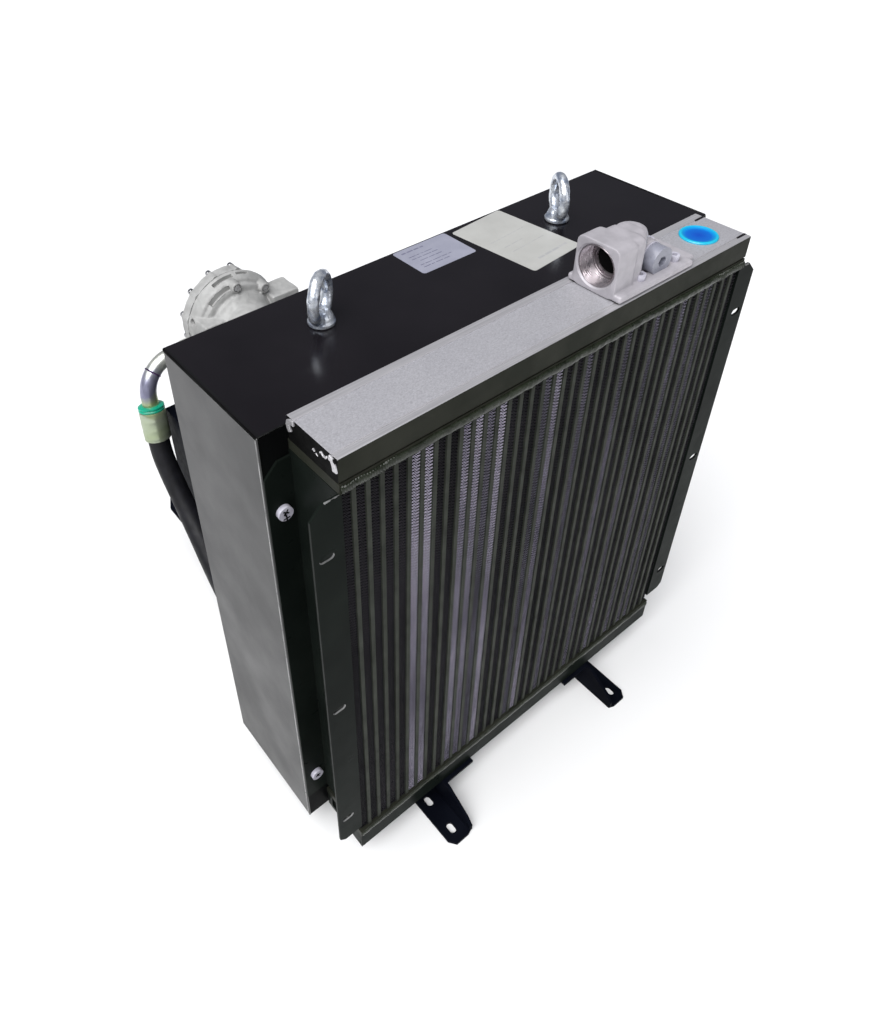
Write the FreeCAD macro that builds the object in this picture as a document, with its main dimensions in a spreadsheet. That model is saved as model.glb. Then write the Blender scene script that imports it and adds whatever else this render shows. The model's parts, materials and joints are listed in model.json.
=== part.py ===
import FreeCAD, Part
import Sketcher
import math
import os
from types import SimpleNamespace

# Air-blast hydraulic oil cooler with its own circulation pump.
#
# Row frame: X runs along the face of the core, +Y from the core towards the pump, +Z up.
# The origin is on the floor, under the middle of the foot rails. Lengths are millimetres.
# The air path runs along Y: core, fan housing, fan, guard. Behind the guard a foot-mounted motor
# turns the fan with the front end of its shaft and a gear pump with the rear end.

SIZES = {
    # fan housing, a folded sheet box with its own rear panel
    "box_width": 580, "box_height": 616, "box_depth": 156, "sheet": 2,
    "foot_height": 45, "fan_opening": 255, "lip_depth": 22,
    # core: flat tubes with air fins between them, closed by a tank at the top and the bottom
    "tube_pitch": 14.2, "tube_thickness": 4.4, "tube_wall": 0.6, "core_depth": 70, "core_inset": 2,
    "fin_height": 555, "fin_inset": 1.5, "fin_base": 36, "tube_plate": 10.5, "header_height": 26,
    "header_wall_rear": 8.5, "header_wall_front": 15, "header_roof": 6, "cap_recess": 2.5,
    "cap_thickness": 3, "inlet_radius": 10, "inlet_wall": 1.5, "inlet_rise": 15, "inlet_side": 210,
    # side plates and their screws
    "channel_sheet": 2.5, "channel_reach": 291, "channel_low": 48, "channel_high": 590,
    "slot_side": 278, "slot_length": 15, "slot_width": 8, "slot_step": 218, "slot_middle": 311,
    "channel_corner_high": 12.5, "channel_corner_low": 7, "ledge_drop": 6, "ledge_corner": 14,
    "screw_side": 276, "screw_low": 91, "screw_high": 528, "screw_radius": 4, "screw_gap": 0.3,
    "screw_head_radius": 7.25, "screw_head": 5, "bolt_head": 5.5, "bolt_flats": 13, "nut_height": 7,
    # foot rails
    "rail_length": 766, "rail_nose": 126, "rail_sheet": 4, "rail_web": 136, "rail_foot": 30,
    "rail_flange": 49, "rail_bolt": 111, "foot_slot_side": 152, "foot_slot_length": 14,
    "foot_slot_width": 9, "foot_slot_near": 321, "foot_slot_far": 364, "foot_corner": 24,
    # lifting eye bolts, M12
    "eye_side": 158, "eye_depth": 98, "eye_ring": 20.5, "eye_wire": 5.7, "eye_height": 27.5,
    "eye_collar": 13.5, "eye_thread": 6,
    # labels on the roof
    "label_sheet": 0.2, "rating_left": -29, "rating_right": 43, "rating_length": 51.5, "rating_gap": 1.5,
    "info_width": 77, "info_length": 113, "info_side": 58.5, "info_back": 36, "info_turn": 5,
    # valve block on the top tank
    "block_left": 55, "block_step": 85, "block_right": 113, "flange_right": 175, "block_height": 52,
    "block_front": 61, "block_rear": 12, "block_flange": 7, "port_radius": 19.5, "port_depth": 24,
    "port_back": 36, "port_rise": 27, "plug_side": 123, "plug_rise": 18,
    "plug_bore": 10, "plug_head": 14.2, "boss_radius": 15, "boss_back": 47, "spring_radius": 6.2,
    "spring_wire": 0.6, "spring_pitch": 2.6, "spring_turns": 3.5, "spring_seat": 9.25,
    # port cap
    "cap_side": 223, "cap_back": 35, "cap_rim": 20, "cap_plug": 13.2,
    # fan
    "fan_radius": 246, "hub_radius": 56, "hub_length": 50, "fan_set_back": 42,
    "blade_count": 7, "blade_sheet": 3.5,
    # motor, IEC frame size 90
    "shaft_height": 90, "motor_radius": 88, "motor_bore": 70, "motor_front": -67,
    "shield_length": 22, "stator_length": 195, "shaft_radius": 14, "drive_radius": 12,
    "rotor_radius": 40, "air_gap": 0.6, "pedestal_half": 155, "pedestal_sheet": 3,
    "pedestal_front": -60, "pedestal_rear": 304,
    # pump
    "pump_flange": 86, "pump_neck": 46, "pump_length": 166, "face_length": 30, "face_radius": 66,
    "bell_front": 72, "bell_rear": 80, "rim_radius": 81, "rim_length": 20, "cover_length": 22,
    "flat_distance": 71.5, "lug_circle": 66, "gear_module": 3.5, "gear_teeth": 12, "gear_width": 24,
    "gear_gap": 0.4, "rim_screws": 12, "rim_circle": 75, "suction_radius": 15.15, "outlet_side": 86,
    # pressure line: elbow, ferrules, hose
    "elbow_radius": 12.5, "elbow_bend": 55, "ferrule_radius": 20.5, "ferrule_length": 48,
    "hose_radius": 16.5, "ring_radius": 20.3, "ring_length": 8,
}

# Points of the hose's route, from the ferrule under the elbow to the ferrule behind the housing.
HOSE_ROUTE = [
    (-181, 290, 227), (-183.4, 283.4, 201.8), (-183, 266, 168), (-182, 246, 136), (-183, 221, 109),
    (-186, 190, 87), (-192, 150, 71), (-199, 106, 63), (-206, 61, 61), (-210, 15, 60), (-210, -31, 60),
]

doc = FreeCAD.newDocument("OilCooler")
sheet = doc.addObject("Spreadsheet::Sheet", "Sizes")
NODES = []


class Size:
    """A length together with the spreadsheet expression that gives it."""

    def __init__(self, value, text):
        self.value = float(value)
        self.text = text

    def __add__(self, other):
        return Size(self.value + number(other), f"({self.text} + {formula(other)})")

    def __radd__(self, other):
        return Size(number(other) + self.value, f"({formula(other)} + {self.text})")

    def __sub__(self, other):
        return Size(self.value - number(other), f"({self.text} - {formula(other)})")

    def __rsub__(self, other):
        return Size(number(other) - self.value, f"({formula(other)} - {self.text})")

    def __mul__(self, other):
        return Size(self.value * number(other), f"({self.text} * {formula(other)})")

    def __rmul__(self, other):
        return self * other

    def __truediv__(self, other):
        return Size(self.value / number(other), f"({self.text} / {formula(other)})")

    def __neg__(self):
        return Size(-self.value, f"(-1 * {self.text})")


def number(item):
    return item.value if isinstance(item, Size) else float(item)


def formula(item):
    return item.text if isinstance(item, Size) else repr(round(float(item), 6))


def fill_sheet():
    """Write every driving dimension into the sheet and return them as Size objects."""
    sizes = {}
    for row, (alias, value) in enumerate(SIZES.items(), start=1):
        cell = f"B{row}"
        sheet.set(f"A{row}", alias)
        sheet.set(cell, str(value))
        sheet.setAlias(cell, alias)
        sizes[alias] = Size(value, f"Sizes.{alias}")
    doc.recompute()
    return SimpleNamespace(**sizes)


d = fill_sheet()

# Main planes, worked out from the driving dimensions.
BOX_FRONT = d.rail_nose - d.rail_length / 2
BOX_REAR = BOX_FRONT + d.box_depth
BOX_BOTTOM = d.foot_height
BOX_TOP = BOX_BOTTOM + d.box_height
HALF_BOX = d.box_width / 2
AXIS_Z = BOX_BOTTOM + d.box_height / 2
CORE_FRONT = BOX_FRONT - d.core_depth
HALF_FINS = d.tube_pitch * 18.5 - d.tube_thickness / 2
HALF_CORE = HALF_FINS + d.channel_sheet
FIN_LOW = BOX_BOTTOM + d.fin_base
FIN_HIGH = FIN_LOW + d.fin_height
TANK_LOW = FIN_HIGH + d.tube_plate
HEADER_TOP = TANK_LOW + d.header_height
HEADER_REAR = BOX_FRONT - 2.5
TANK_FRONT = CORE_FRONT + d.header_wall_front
TANK_REAR = HEADER_REAR - d.header_wall_rear
PEDESTAL_TOP = AXIS_Z - d.shaft_height
MOTOR_BACK = d.motor_front + d.shield_length + d.stator_length
PUMP_FRONT = MOTOR_BACK + d.shield_length
PUMP_JOINT = PUMP_FRONT + d.pump_length
PUMP_FACE = PUMP_JOINT - d.face_length
RIM_REAR = PUMP_JOINT + d.rim_length
BLOCK_SCREWS = [(96, BOX_FRONT - 58), (150, BOX_FRONT - 56), (158, BOX_FRONT - 20)]
MOTOR_FEET = [(side * 70, y) for side in (-1, 1) for y in (d.motor_front + 60, d.motor_front + 185)]
# Angles of the pump's five lugs round the shaft, in degrees from the top.
LUG_ANGLES = (-2, 44, 112, 180, 226)
TURN = {"X": FreeCAD.Rotation(FreeCAD.Vector(0, 1, 0), 90),
        "Y": FreeCAD.Rotation(FreeCAD.Vector(1, 0, 0), -90),
        "Z": FreeCAD.Rotation()}
SIDES = (-1, 1)


# ---------------------------------------------------------------- building blocks

def bind(thing, name, value):
    thing.setExpression(name, formula(value))


def place(thing, x, y, z):
    for letter, value in zip("xyz", (x, y, z)):
        bind(thing, f"Placement.Base.{letter}", value)
    return thing


def block(x, y, z):
    """A box from x[0] to x[1], y[0] to y[1] and z[0] to z[1]."""
    solid = doc.addObject("Part::Box", "Block")
    for name, span in zip(("Length", "Width", "Height"), (x, y, z)):
        bind(solid, name, span[1] - span[0])
    return place(solid, x[0], y[0], z[0])


def turned(solid, rotation):
    solid.Placement = FreeCAD.Placement(FreeCAD.Vector(), rotation)
    return solid


def rod(radius, length, x, y, z, axis="Z"):
    """A cylinder that starts at x, y, z and runs along an axis."""
    solid = turned(doc.addObject("Part::Cylinder", "Rod"), TURN[axis])
    bind(solid, "Radius", radius)
    bind(solid, "Height", length)
    return place(solid, x, y, z)


def cone(radius, end_radius, length, x, y, z, axis="Z"):
    solid = turned(doc.addObject("Part::Cone", "Cone"), TURN[axis])
    bind(solid, "Radius1", radius)
    bind(solid, "Radius2", end_radius)
    bind(solid, "Height", length)
    return place(solid, x, y, z)


def torus(radius, wire, x, y, z, rotation):
    solid = turned(doc.addObject("Part::Torus", "Ring"), rotation)
    bind(solid, "Radius1", radius)
    bind(solid, "Radius2", wire)
    return place(solid, x, y, z)


def hexagon(flats, length, x, y, z, axis="Z"):
    """A hexagonal prism, given across its flats."""
    solid = turned(doc.addObject("Part::Prism", "Hexagon"), TURN[axis])
    solid.Polygon = 6
    bind(solid, "Circumradius", flats / math.sqrt(3))
    bind(solid, "Height", length)
    return place(solid, x, y, z)


def slot(length, width, depth, x, y, z, axis, along):
    """A tool for a slot through the axis direction, long in the direction named by along."""
    reach = (length - width) / 2
    shift = {"X": (1, 0), "Y": (0, 1)}[along] if axis == "Z" else {"X": (1, 0), "Z": (0, 1)}[along]
    ends = []
    for side in SIDES:
        across = x + side * shift[0] * reach
        if axis == "Z":
            ends.append(rod(width / 2, depth, across, y + side * shift[1] * reach, z, axis))
        else:
            ends.append(rod(width / 2, depth, across, y, z + side * shift[1] * reach, axis))
    if axis == "Z":
        half = (reach, width / 2) if along == "X" else (width / 2, reach)
        middle = block((x - half[0], x + half[0]), (y - half[1], y + half[1]), (z, z + depth))
    else:
        half = (reach, width / 2) if along == "X" else (width / 2, reach)
        middle = block((x - half[0], x + half[0]), (y, y + depth), (z - half[1], z + half[1]))
    return unite(ends + [middle])


def unite(parts):
    solid = doc.addObject("Part::MultiFuse", "Union")
    solid.Shapes = parts
    return solid


def together(parts):
    solids = doc.addObject("Part::Compound", "Group")
    solids.Links = parts
    return solids


def subtract(base, tools):
    solid = doc.addObject("Part::Cut", "Cut")
    solid.Base = base
    solid.Tool = tools[0] if len(tools) == 1 else unite(tools)
    return solid


def ring(radius, bore, length, x, y, z, axis="Z"):
    """A round piece with a round bore."""
    return subtract(rod(radius, length, x, y, z, axis), [rod(bore, length, x, y, z, axis)])


def drawn(shape):
    """A piece whose shape comes from Part's own functions."""
    solid = doc.addObject("Part::Feature", "Drawn")
    solid.Shape = shape
    return solid


def plane_of(body, role):
    return next(item for item in body.Origin.OriginFeatures if item.Role == role)


def padded(points, role, length, start):
    """A body padded from a closed outline; start places the body's origin."""
    body = doc.addObject("PartDesign::Body", "Body")
    sketch = body.newObject("Sketcher::SketchObject", "Outline")
    sketch.AttachmentSupport = [(plane_of(body, role), "")]
    sketch.MapMode = "FlatFace"
    corners = [FreeCAD.Vector(number(u), number(v), 0) for u, v in points]
    count = len(corners)
    for index, corner in enumerate(corners):
        sketch.addGeometry(Part.LineSegment(corner, corners[(index + 1) % count]), False)
    for index in range(count):
        sketch.addConstraint(Sketcher.Constraint("Coincident", index, 2, (index + 1) % count, 1))
    for index, (u, v) in enumerate(points):
        for kind, value in (("DistanceX", u), ("DistanceY", v)):
            rule = Sketcher.Constraint(kind, -1, 1, index, 1, number(value))
            place_of_rule = sketch.addConstraint(rule)
            sketch.setExpression(f"Constraints[{place_of_rule}]", formula(value))
    pad = body.newObject("PartDesign::Pad", "Pad")
    pad.Profile = sketch
    bind(pad, "Length", length)
    pad.Reversed = role == "XZ_Plane"
    body.Tip = pad
    return place(body, *start)


def node(name, solid):
    """Name a finished piece; its label is also the name of its file."""
    solid.Label = name
    NODES.append(solid)
    return solid


def bolt(flats, head, radius, length, x, y, z):
    """An upright hexagon bolt: the head starts at x, y, z and the shank follows above it."""
    return unite([hexagon(flats, head, x, y, z), rod(radius, length, x, y, z + head)])


def nut(flats, height, bore, x, y, z, axis="Z"):
    return subtract(hexagon(flats, height, x, y, z, axis), [rod(bore, height, x, y, z, axis)])


# ---------------------------------------------------------------- core

def tube_columns():
    """X positions of the 36 flat tubes."""
    return [(index - 17.5) * d.tube_pitch for index in range(36)]


def tube_blocks(inset, low, high):
    half = d.tube_thickness / 2 - inset
    front = CORE_FRONT + d.core_inset + inset
    rear = BOX_FRONT - d.core_inset - inset
    return [block((x - half, x + half), (front, rear), (low, high)) for x in tube_columns()]


def build_core():
    low = FIN_LOW - d.tube_plate
    tubes = subtract(together(tube_blocks(0, low, TANK_LOW)),
                     [together(tube_blocks(d.tube_wall, low, TANK_LOW))])
    node("oil_tubes", tubes)

    fins = []
    half = (d.tube_pitch - d.tube_thickness) / 2
    front = CORE_FRONT + d.core_inset + d.fin_inset
    rear = BOX_FRONT - d.core_inset - d.fin_inset
    for index in range(37):
        x = (index - 18) * d.tube_pitch
        fins.append(block((x - half, x + half), (front, rear), (FIN_LOW, FIN_HIGH)))
    node("air_fins", together(fins))

    span = (CORE_FRONT, BOX_FRONT - 1)
    plates = []
    for low_z, high_z in ((low, FIN_LOW), (FIN_HIGH, TANK_LOW)):
        plate = block((-HALF_CORE, HALF_CORE), span, (low_z, high_z))
        plates.append(subtract(plate, [together(tube_blocks(0, low_z, high_z))]))
    node("tube_plates", together(plates))


def header_top():
    """Extruded tank: a roof with two grooves and undercut edges, open towards the tubes."""
    low = TANK_LOW
    high = HEADER_TOP
    roof = high - d.header_roof
    groove = high - 3.5
    outline = [
        (CORE_FRONT, low), (CORE_FRONT, high), (CORE_FRONT + 6, high), (CORE_FRONT + 6, groove),
        (CORE_FRONT + 9, groove), (CORE_FRONT + 9, high), (HEADER_REAR - 11.5, high),
        (HEADER_REAR - 11.5, groove), (HEADER_REAR - 9.5, groove), (HEADER_REAR - 9.5, high),
        (HEADER_REAR, high), (HEADER_REAR, high - 3.5), (HEADER_REAR - 4, high - 5),
        (HEADER_REAR - 4, high - 7), (HEADER_REAR, high - 9), (HEADER_REAR, low),
        (TANK_REAR, low), (TANK_REAR, roof), (TANK_FRONT, roof), (TANK_FRONT, low),
    ]
    tank = padded(outline, "YZ_Plane", HALF_CORE * 2, (-HALF_CORE, 0, 0))
    port_x = d.block_step
    port_y = BOX_FRONT - d.port_back
    cap_y = BOX_FRONT - d.cap_back
    screw_channel = rod(1.8, HALF_CORE * 2, -HALF_CORE, CORE_FRONT + 3.5, high - 6, "X")
    openings = [rod(15, 2 * d.header_roof, port_x, port_y, roof - 2),
                rod(d.cap_plug + 0.3, 2 * d.header_roof, d.cap_side, cap_y, roof - 2), screw_channel]
    for x, y in BLOCK_SCREWS:
        openings.append(rod(2.6, d.header_roof + 4, x, y, high - d.header_roof - 3))
    node("header_top", subtract(tank, openings))


def header_bottom():
    low = BOX_BOTTOM
    high = FIN_LOW - d.tube_plate
    floor = low + d.header_roof
    outline = [
        (CORE_FRONT, high), (CORE_FRONT, low), (HEADER_REAR, low), (HEADER_REAR, low + 9),
        (HEADER_REAR - 4, low + 10.5), (HEADER_REAR - 4, low + 12.5), (HEADER_REAR, low + 14),
        (HEADER_REAR, high), (TANK_REAR, high), (TANK_REAR, floor), (TANK_FRONT, floor),
        (TANK_FRONT, high),
    ]
    tank = padded(outline, "YZ_Plane", HALF_CORE * 2, (-HALF_CORE, 0, 0))
    hole = rod(d.inlet_radius + 0.1, 2 * d.header_wall_rear, -d.inlet_side,
               TANK_REAR - d.header_wall_rear / 2, BOX_BOTTOM + d.inlet_rise, "Y")
    channel = rod(1.8, HALF_CORE * 2, -HALF_CORE, CORE_FRONT + 3.5, low + 6, "X")
    node("header_bottom", subtract(tank, [hole, channel]))


def header_end_caps():
    caps = []
    for side in SIDES:
        outer = side * (HALF_CORE - d.cap_recess)
        inner = side * (HALF_CORE - d.cap_recess - d.cap_thickness)
        span = (outer, inner) if side < 0 else (inner, outer)
        for low, high in ((BOX_BOTTOM + d.header_roof, FIN_LOW - d.tube_plate),
                          (TANK_LOW, HEADER_TOP - d.header_roof)):
            caps.append(block(span, (TANK_FRONT, TANK_REAR), (low, high)))
    node("header_end_caps", together(caps))


def corner_tool(x, y, z, reach, depth):
    """A square bar along Y, turned on its edge, that takes a corner of this reach off a plate."""
    tool = turned(doc.addObject("Part::Box", "Corner"), FreeCAD.Rotation(FreeCAD.Vector(0, 1, 0), 45))
    bind(tool, "Length", reach * math.sqrt(2))
    bind(tool, "Width", depth)
    bind(tool, "Height", reach * math.sqrt(2))
    return place(tool, x - reach, y, z)


def side_plate(name, side):
    """C channel: a web beside the fins, a rear flange on the housing and a slotted front flange."""
    front = CORE_FRONT + 1
    gauge = d.channel_sheet
    reach = d.channel_reach
    low = BOX_BOTTOM + d.channel_low
    high = BOX_BOTTOM + d.channel_high
    outline = [
        (side * HALF_FINS, front), (side * reach, front), (side * reach, front + gauge),
        (side * HALF_CORE, front + gauge), (side * HALF_CORE, BOX_FRONT - gauge),
        (side * HALF_BOX, BOX_FRONT - gauge), (side * HALF_BOX, BOX_FRONT), (side * HALF_FINS, BOX_FRONT),
    ]
    channel = padded(outline, "XY_Plane", high - low, (0, 0, low))
    tools = []
    for step in (-1, 0, 1):
        height = BOX_BOTTOM + d.slot_middle + step * d.slot_step
        tools.append(slot(d.slot_length, d.slot_width, gauge + 2, side * d.slot_side, front - 1,
                          height, "Y", "X"))
    for height in (d.screw_low, d.screw_high):
        tools.append(rod(d.screw_radius + d.screw_gap, gauge + 2, side * d.screw_side,
                         BOX_FRONT - gauge - 1, BOX_BOTTOM + height, "Y"))
    for height, cut in ((high, d.channel_corner_high), (low, d.channel_corner_low)):
        tools.append(corner_tool(side * reach, front - 2, height, cut, 8))
    ledge = high - d.ledge_drop
    behind = BOX_FRONT - gauge - 1
    beside = sorted((side * HALF_CORE, side * (HALF_BOX + 1)), key=number)
    tools.append(block(beside, (behind, BOX_FRONT + 1), (ledge, high + 1)))
    tools.append(corner_tool(side * HALF_BOX, behind, ledge, d.ledge_corner, gauge + 2))
    node(name, subtract(channel, tools))


def screw_places():
    return [(side * d.screw_side, BOX_BOTTOM + height)
            for side in SIDES for height in (d.screw_low, d.screw_high)]


def core_screws():
    """Pan-head screws through the side plates' rear flanges."""
    screws = []
    head = d.screw_head
    seat = BOX_FRONT - d.channel_sheet
    for x, z in screw_places():
        body = unite([rod(d.screw_head_radius, head, x, seat - head, z, "Y"),
                      rod(d.screw_radius, 16, x, seat, z, "Y")])
        screws.append(subtract(body, [hexagon(5, 3, x, seat - head, z, "Y")]))
    node("core_screws", together(screws))


# ---------------------------------------------------------------- housing, rails, lifting eyes

def rail_bolt_places():
    """Bolts through the rails: the first two rows hold the housing, the others the pedestal."""
    rows = (BOX_FRONT + 25, BOX_REAR - 25, d.pedestal_front + 30, d.pedestal_rear - 30)
    return [(side * d.rail_bolt, y, index) for side in SIDES for index, y in enumerate(rows)]


def fan_housing():
    gauge = d.sheet
    shell = block((-HALF_BOX, HALF_BOX), (BOX_FRONT, BOX_REAR), (BOX_BOTTOM, BOX_TOP))
    hollow = block((gauge - HALF_BOX, HALF_BOX - gauge), (BOX_FRONT + gauge, BOX_REAR + 1),
                   (BOX_BOTTOM + gauge, BOX_TOP - gauge))
    window = block((-HALF_FINS, HALF_FINS), (BOX_FRONT - 1, BOX_FRONT + gauge + 1), (FIN_LOW, FIN_HIGH))
    tools = [hollow, window]
    for x, z in screw_places():
        tools.append(rod(d.screw_radius + d.screw_gap, 2 * gauge, x, BOX_FRONT - gauge / 2, z, "Y"))
    for side in SIDES:
        tools.append(rod(d.eye_thread + 0.3, 2 * gauge, side * d.eye_side, BOX_FRONT + d.eye_depth,
                         BOX_TOP - gauge - 1))
    for x, y, row in rail_bolt_places():
        if row < 2:
            tools.append(rod(d.screw_radius + d.screw_gap, 2 * gauge, x, y, BOX_BOTTOM - 1))
    tools.append(rod(d.inlet_radius + 1.5, 2 * gauge, -d.inlet_side, BOX_FRONT - gauge / 2,
                     BOX_BOTTOM + d.inlet_rise, "Y"))
    node("fan_housing", subtract(shell, tools))


def shroud_panel():
    """Rear panel with the round lip that the fan runs in."""
    gauge = d.sheet
    front = BOX_REAR - gauge
    panel = block((gauge - HALF_BOX, HALF_BOX - gauge), (front, BOX_REAR),
                  (BOX_BOTTOM + gauge, BOX_TOP - gauge))
    lip = rod(d.fan_opening + gauge, d.lip_depth + gauge, 0, front, AXIS_Z, "Y")
    bore = rod(d.fan_opening, d.lip_depth + 2 * gauge + 2, 0, front - 1, AXIS_Z, "Y")
    hole = rod(d.inlet_radius + 2.5, 2 * gauge, -d.inlet_side, front - 1, BOX_BOTTOM + d.inlet_rise, "Y")
    node("shroud_panel", subtract(unite([panel, lip]), [bore, hole]))
    grommet = unite([rod(d.inlet_radius + 2.5, gauge, -d.inlet_side, front, BOX_BOTTOM + d.inlet_rise, "Y"),
                     rod(d.inlet_radius + 4.5, 4, -d.inlet_side, BOX_REAR, BOX_BOTTOM + d.inlet_rise, "Y")])
    bore = rod(d.inlet_radius + 0.1, 12, -d.inlet_side, front - 3, BOX_BOTTOM + d.inlet_rise, "Y")
    node("pipe_grommet", subtract(grommet, [bore]))


def foot_rail(name, side):
    """Z section: a slotted foot flange outwards, a web, and a flange under the housing inwards."""
    gauge = d.rail_sheet
    half = d.rail_length / 2
    outer = d.rail_web + d.rail_foot
    inner = d.rail_web - gauge
    foot = padded(
        [(side * inner, -half + 3), (side * (inner + 8), -half), (side * (outer - 7), -half),
         (side * outer, -half + 9), (side * outer, half - d.foot_corner),
         (side * (outer - d.foot_corner / 2), half),
         (side * (inner + 8), half), (side * inner, half - 3)],
        "XY_Plane", gauge, (0, 0, 0))
    slope = d.rail_nose - 81
    web = padded(
        [(-half + 2, gauge / 2), (-half + 2, 12), (-half + 11, 23), (slope - half, d.foot_height),
         (half - slope, d.foot_height), (half - 11, 23), (half - 2, 12), (half - 2, gauge / 2)],
        "YZ_Plane", gauge, (side * d.rail_web - (gauge if side > 0 else 0), 0, 0))
    flange_x = sorted((side * (d.rail_web - d.rail_flange), side * d.rail_web), key=number)
    flange = block(flange_x, (slope - half + 6, half - slope - 6), (d.foot_height - gauge, d.foot_height))
    tools = []
    for sign in SIDES:
        for distance in (d.foot_slot_near, d.foot_slot_far):
            tools.append(slot(d.foot_slot_length, d.foot_slot_width, gauge + 2, side * d.foot_slot_side,
                              sign * distance, -1, "Z", "Y"))
    for x, y, row in rail_bolt_places():
        if number(x) * side > 0:
            tools.append(rod(d.screw_radius + d.screw_gap, gauge + 2, x, y, d.foot_height - gauge - 1))
    node(name, subtract(unite([foot, web, flange]), tools))


def rail_bolts():
    """Bolts from below through the rails. The same M8 nuts hold them and the core's screws."""
    bolts = []
    nuts = [nut(d.bolt_flats, d.nut_height, d.screw_radius + 0.1, x, BOX_FRONT + d.sheet, z, "Y")
            for x, z in screw_places()]
    under = d.foot_height - d.rail_sheet - d.bolt_head
    for x, y, row in rail_bolt_places():
        grip = d.sheet if row < 2 else d.pedestal_sheet
        bolts.append(bolt(d.bolt_flats, d.bolt_head, d.screw_radius, 20, x, y, under))
        nuts.append(nut(d.bolt_flats, d.nut_height, d.screw_radius + 0.1, x, y, d.foot_height + grip))
    node("rail_bolts", together(bolts))
    node("flange_nuts", together(nuts))


def eye_bolt(name, side, heading):
    """Lifting eye: collar, neck and ring, with a shank through the roof. heading turns the ring."""
    x = side * d.eye_side
    y = BOX_FRONT + d.eye_depth
    angle = math.radians(heading)
    face = FreeCAD.Rotation(FreeCAD.Vector(0, 0, 1), FreeCAD.Vector(math.cos(angle), -math.sin(angle), 0))
    pieces = [
        rod(d.eye_collar, 5, x, y, BOX_TOP),
        cone(d.eye_collar, 8, 6, x, y, BOX_TOP + 5),
        torus(d.eye_ring, d.eye_wire, x, y, BOX_TOP + d.eye_height, face),
        rod(d.eye_thread, 23, x, y, BOX_TOP - 20),
    ]
    node(name, unite(pieces))


def eye_nuts():
    nuts = [nut(19, 10, d.eye_thread + 0.1, side * d.eye_side, BOX_FRONT + d.eye_depth,
                BOX_TOP - d.sheet - 10) for side in SIDES]
    node("eye_nuts", together(nuts))


def labels():
    rear = BOX_REAR - d.rating_gap
    rating = block((d.rating_left, d.rating_right), (rear - d.rating_length, rear),
                   (BOX_TOP, BOX_TOP + d.label_sheet))
    node("rating_label", rating)
    turn = FreeCAD.Rotation(FreeCAD.Vector(0, 0, 1), number(d.info_turn))
    info = turned(doc.addObject("Part::Box", "Label"), turn)
    bind(info, "Length", d.info_width)
    bind(info, "Width", d.info_length)
    bind(info, "Height", d.label_sheet)
    node("info_label", place(info, d.info_side, BOX_FRONT + d.info_back, BOX_TOP))


# ---------------------------------------------------------------- valve block, plug, bypass, cap

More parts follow.
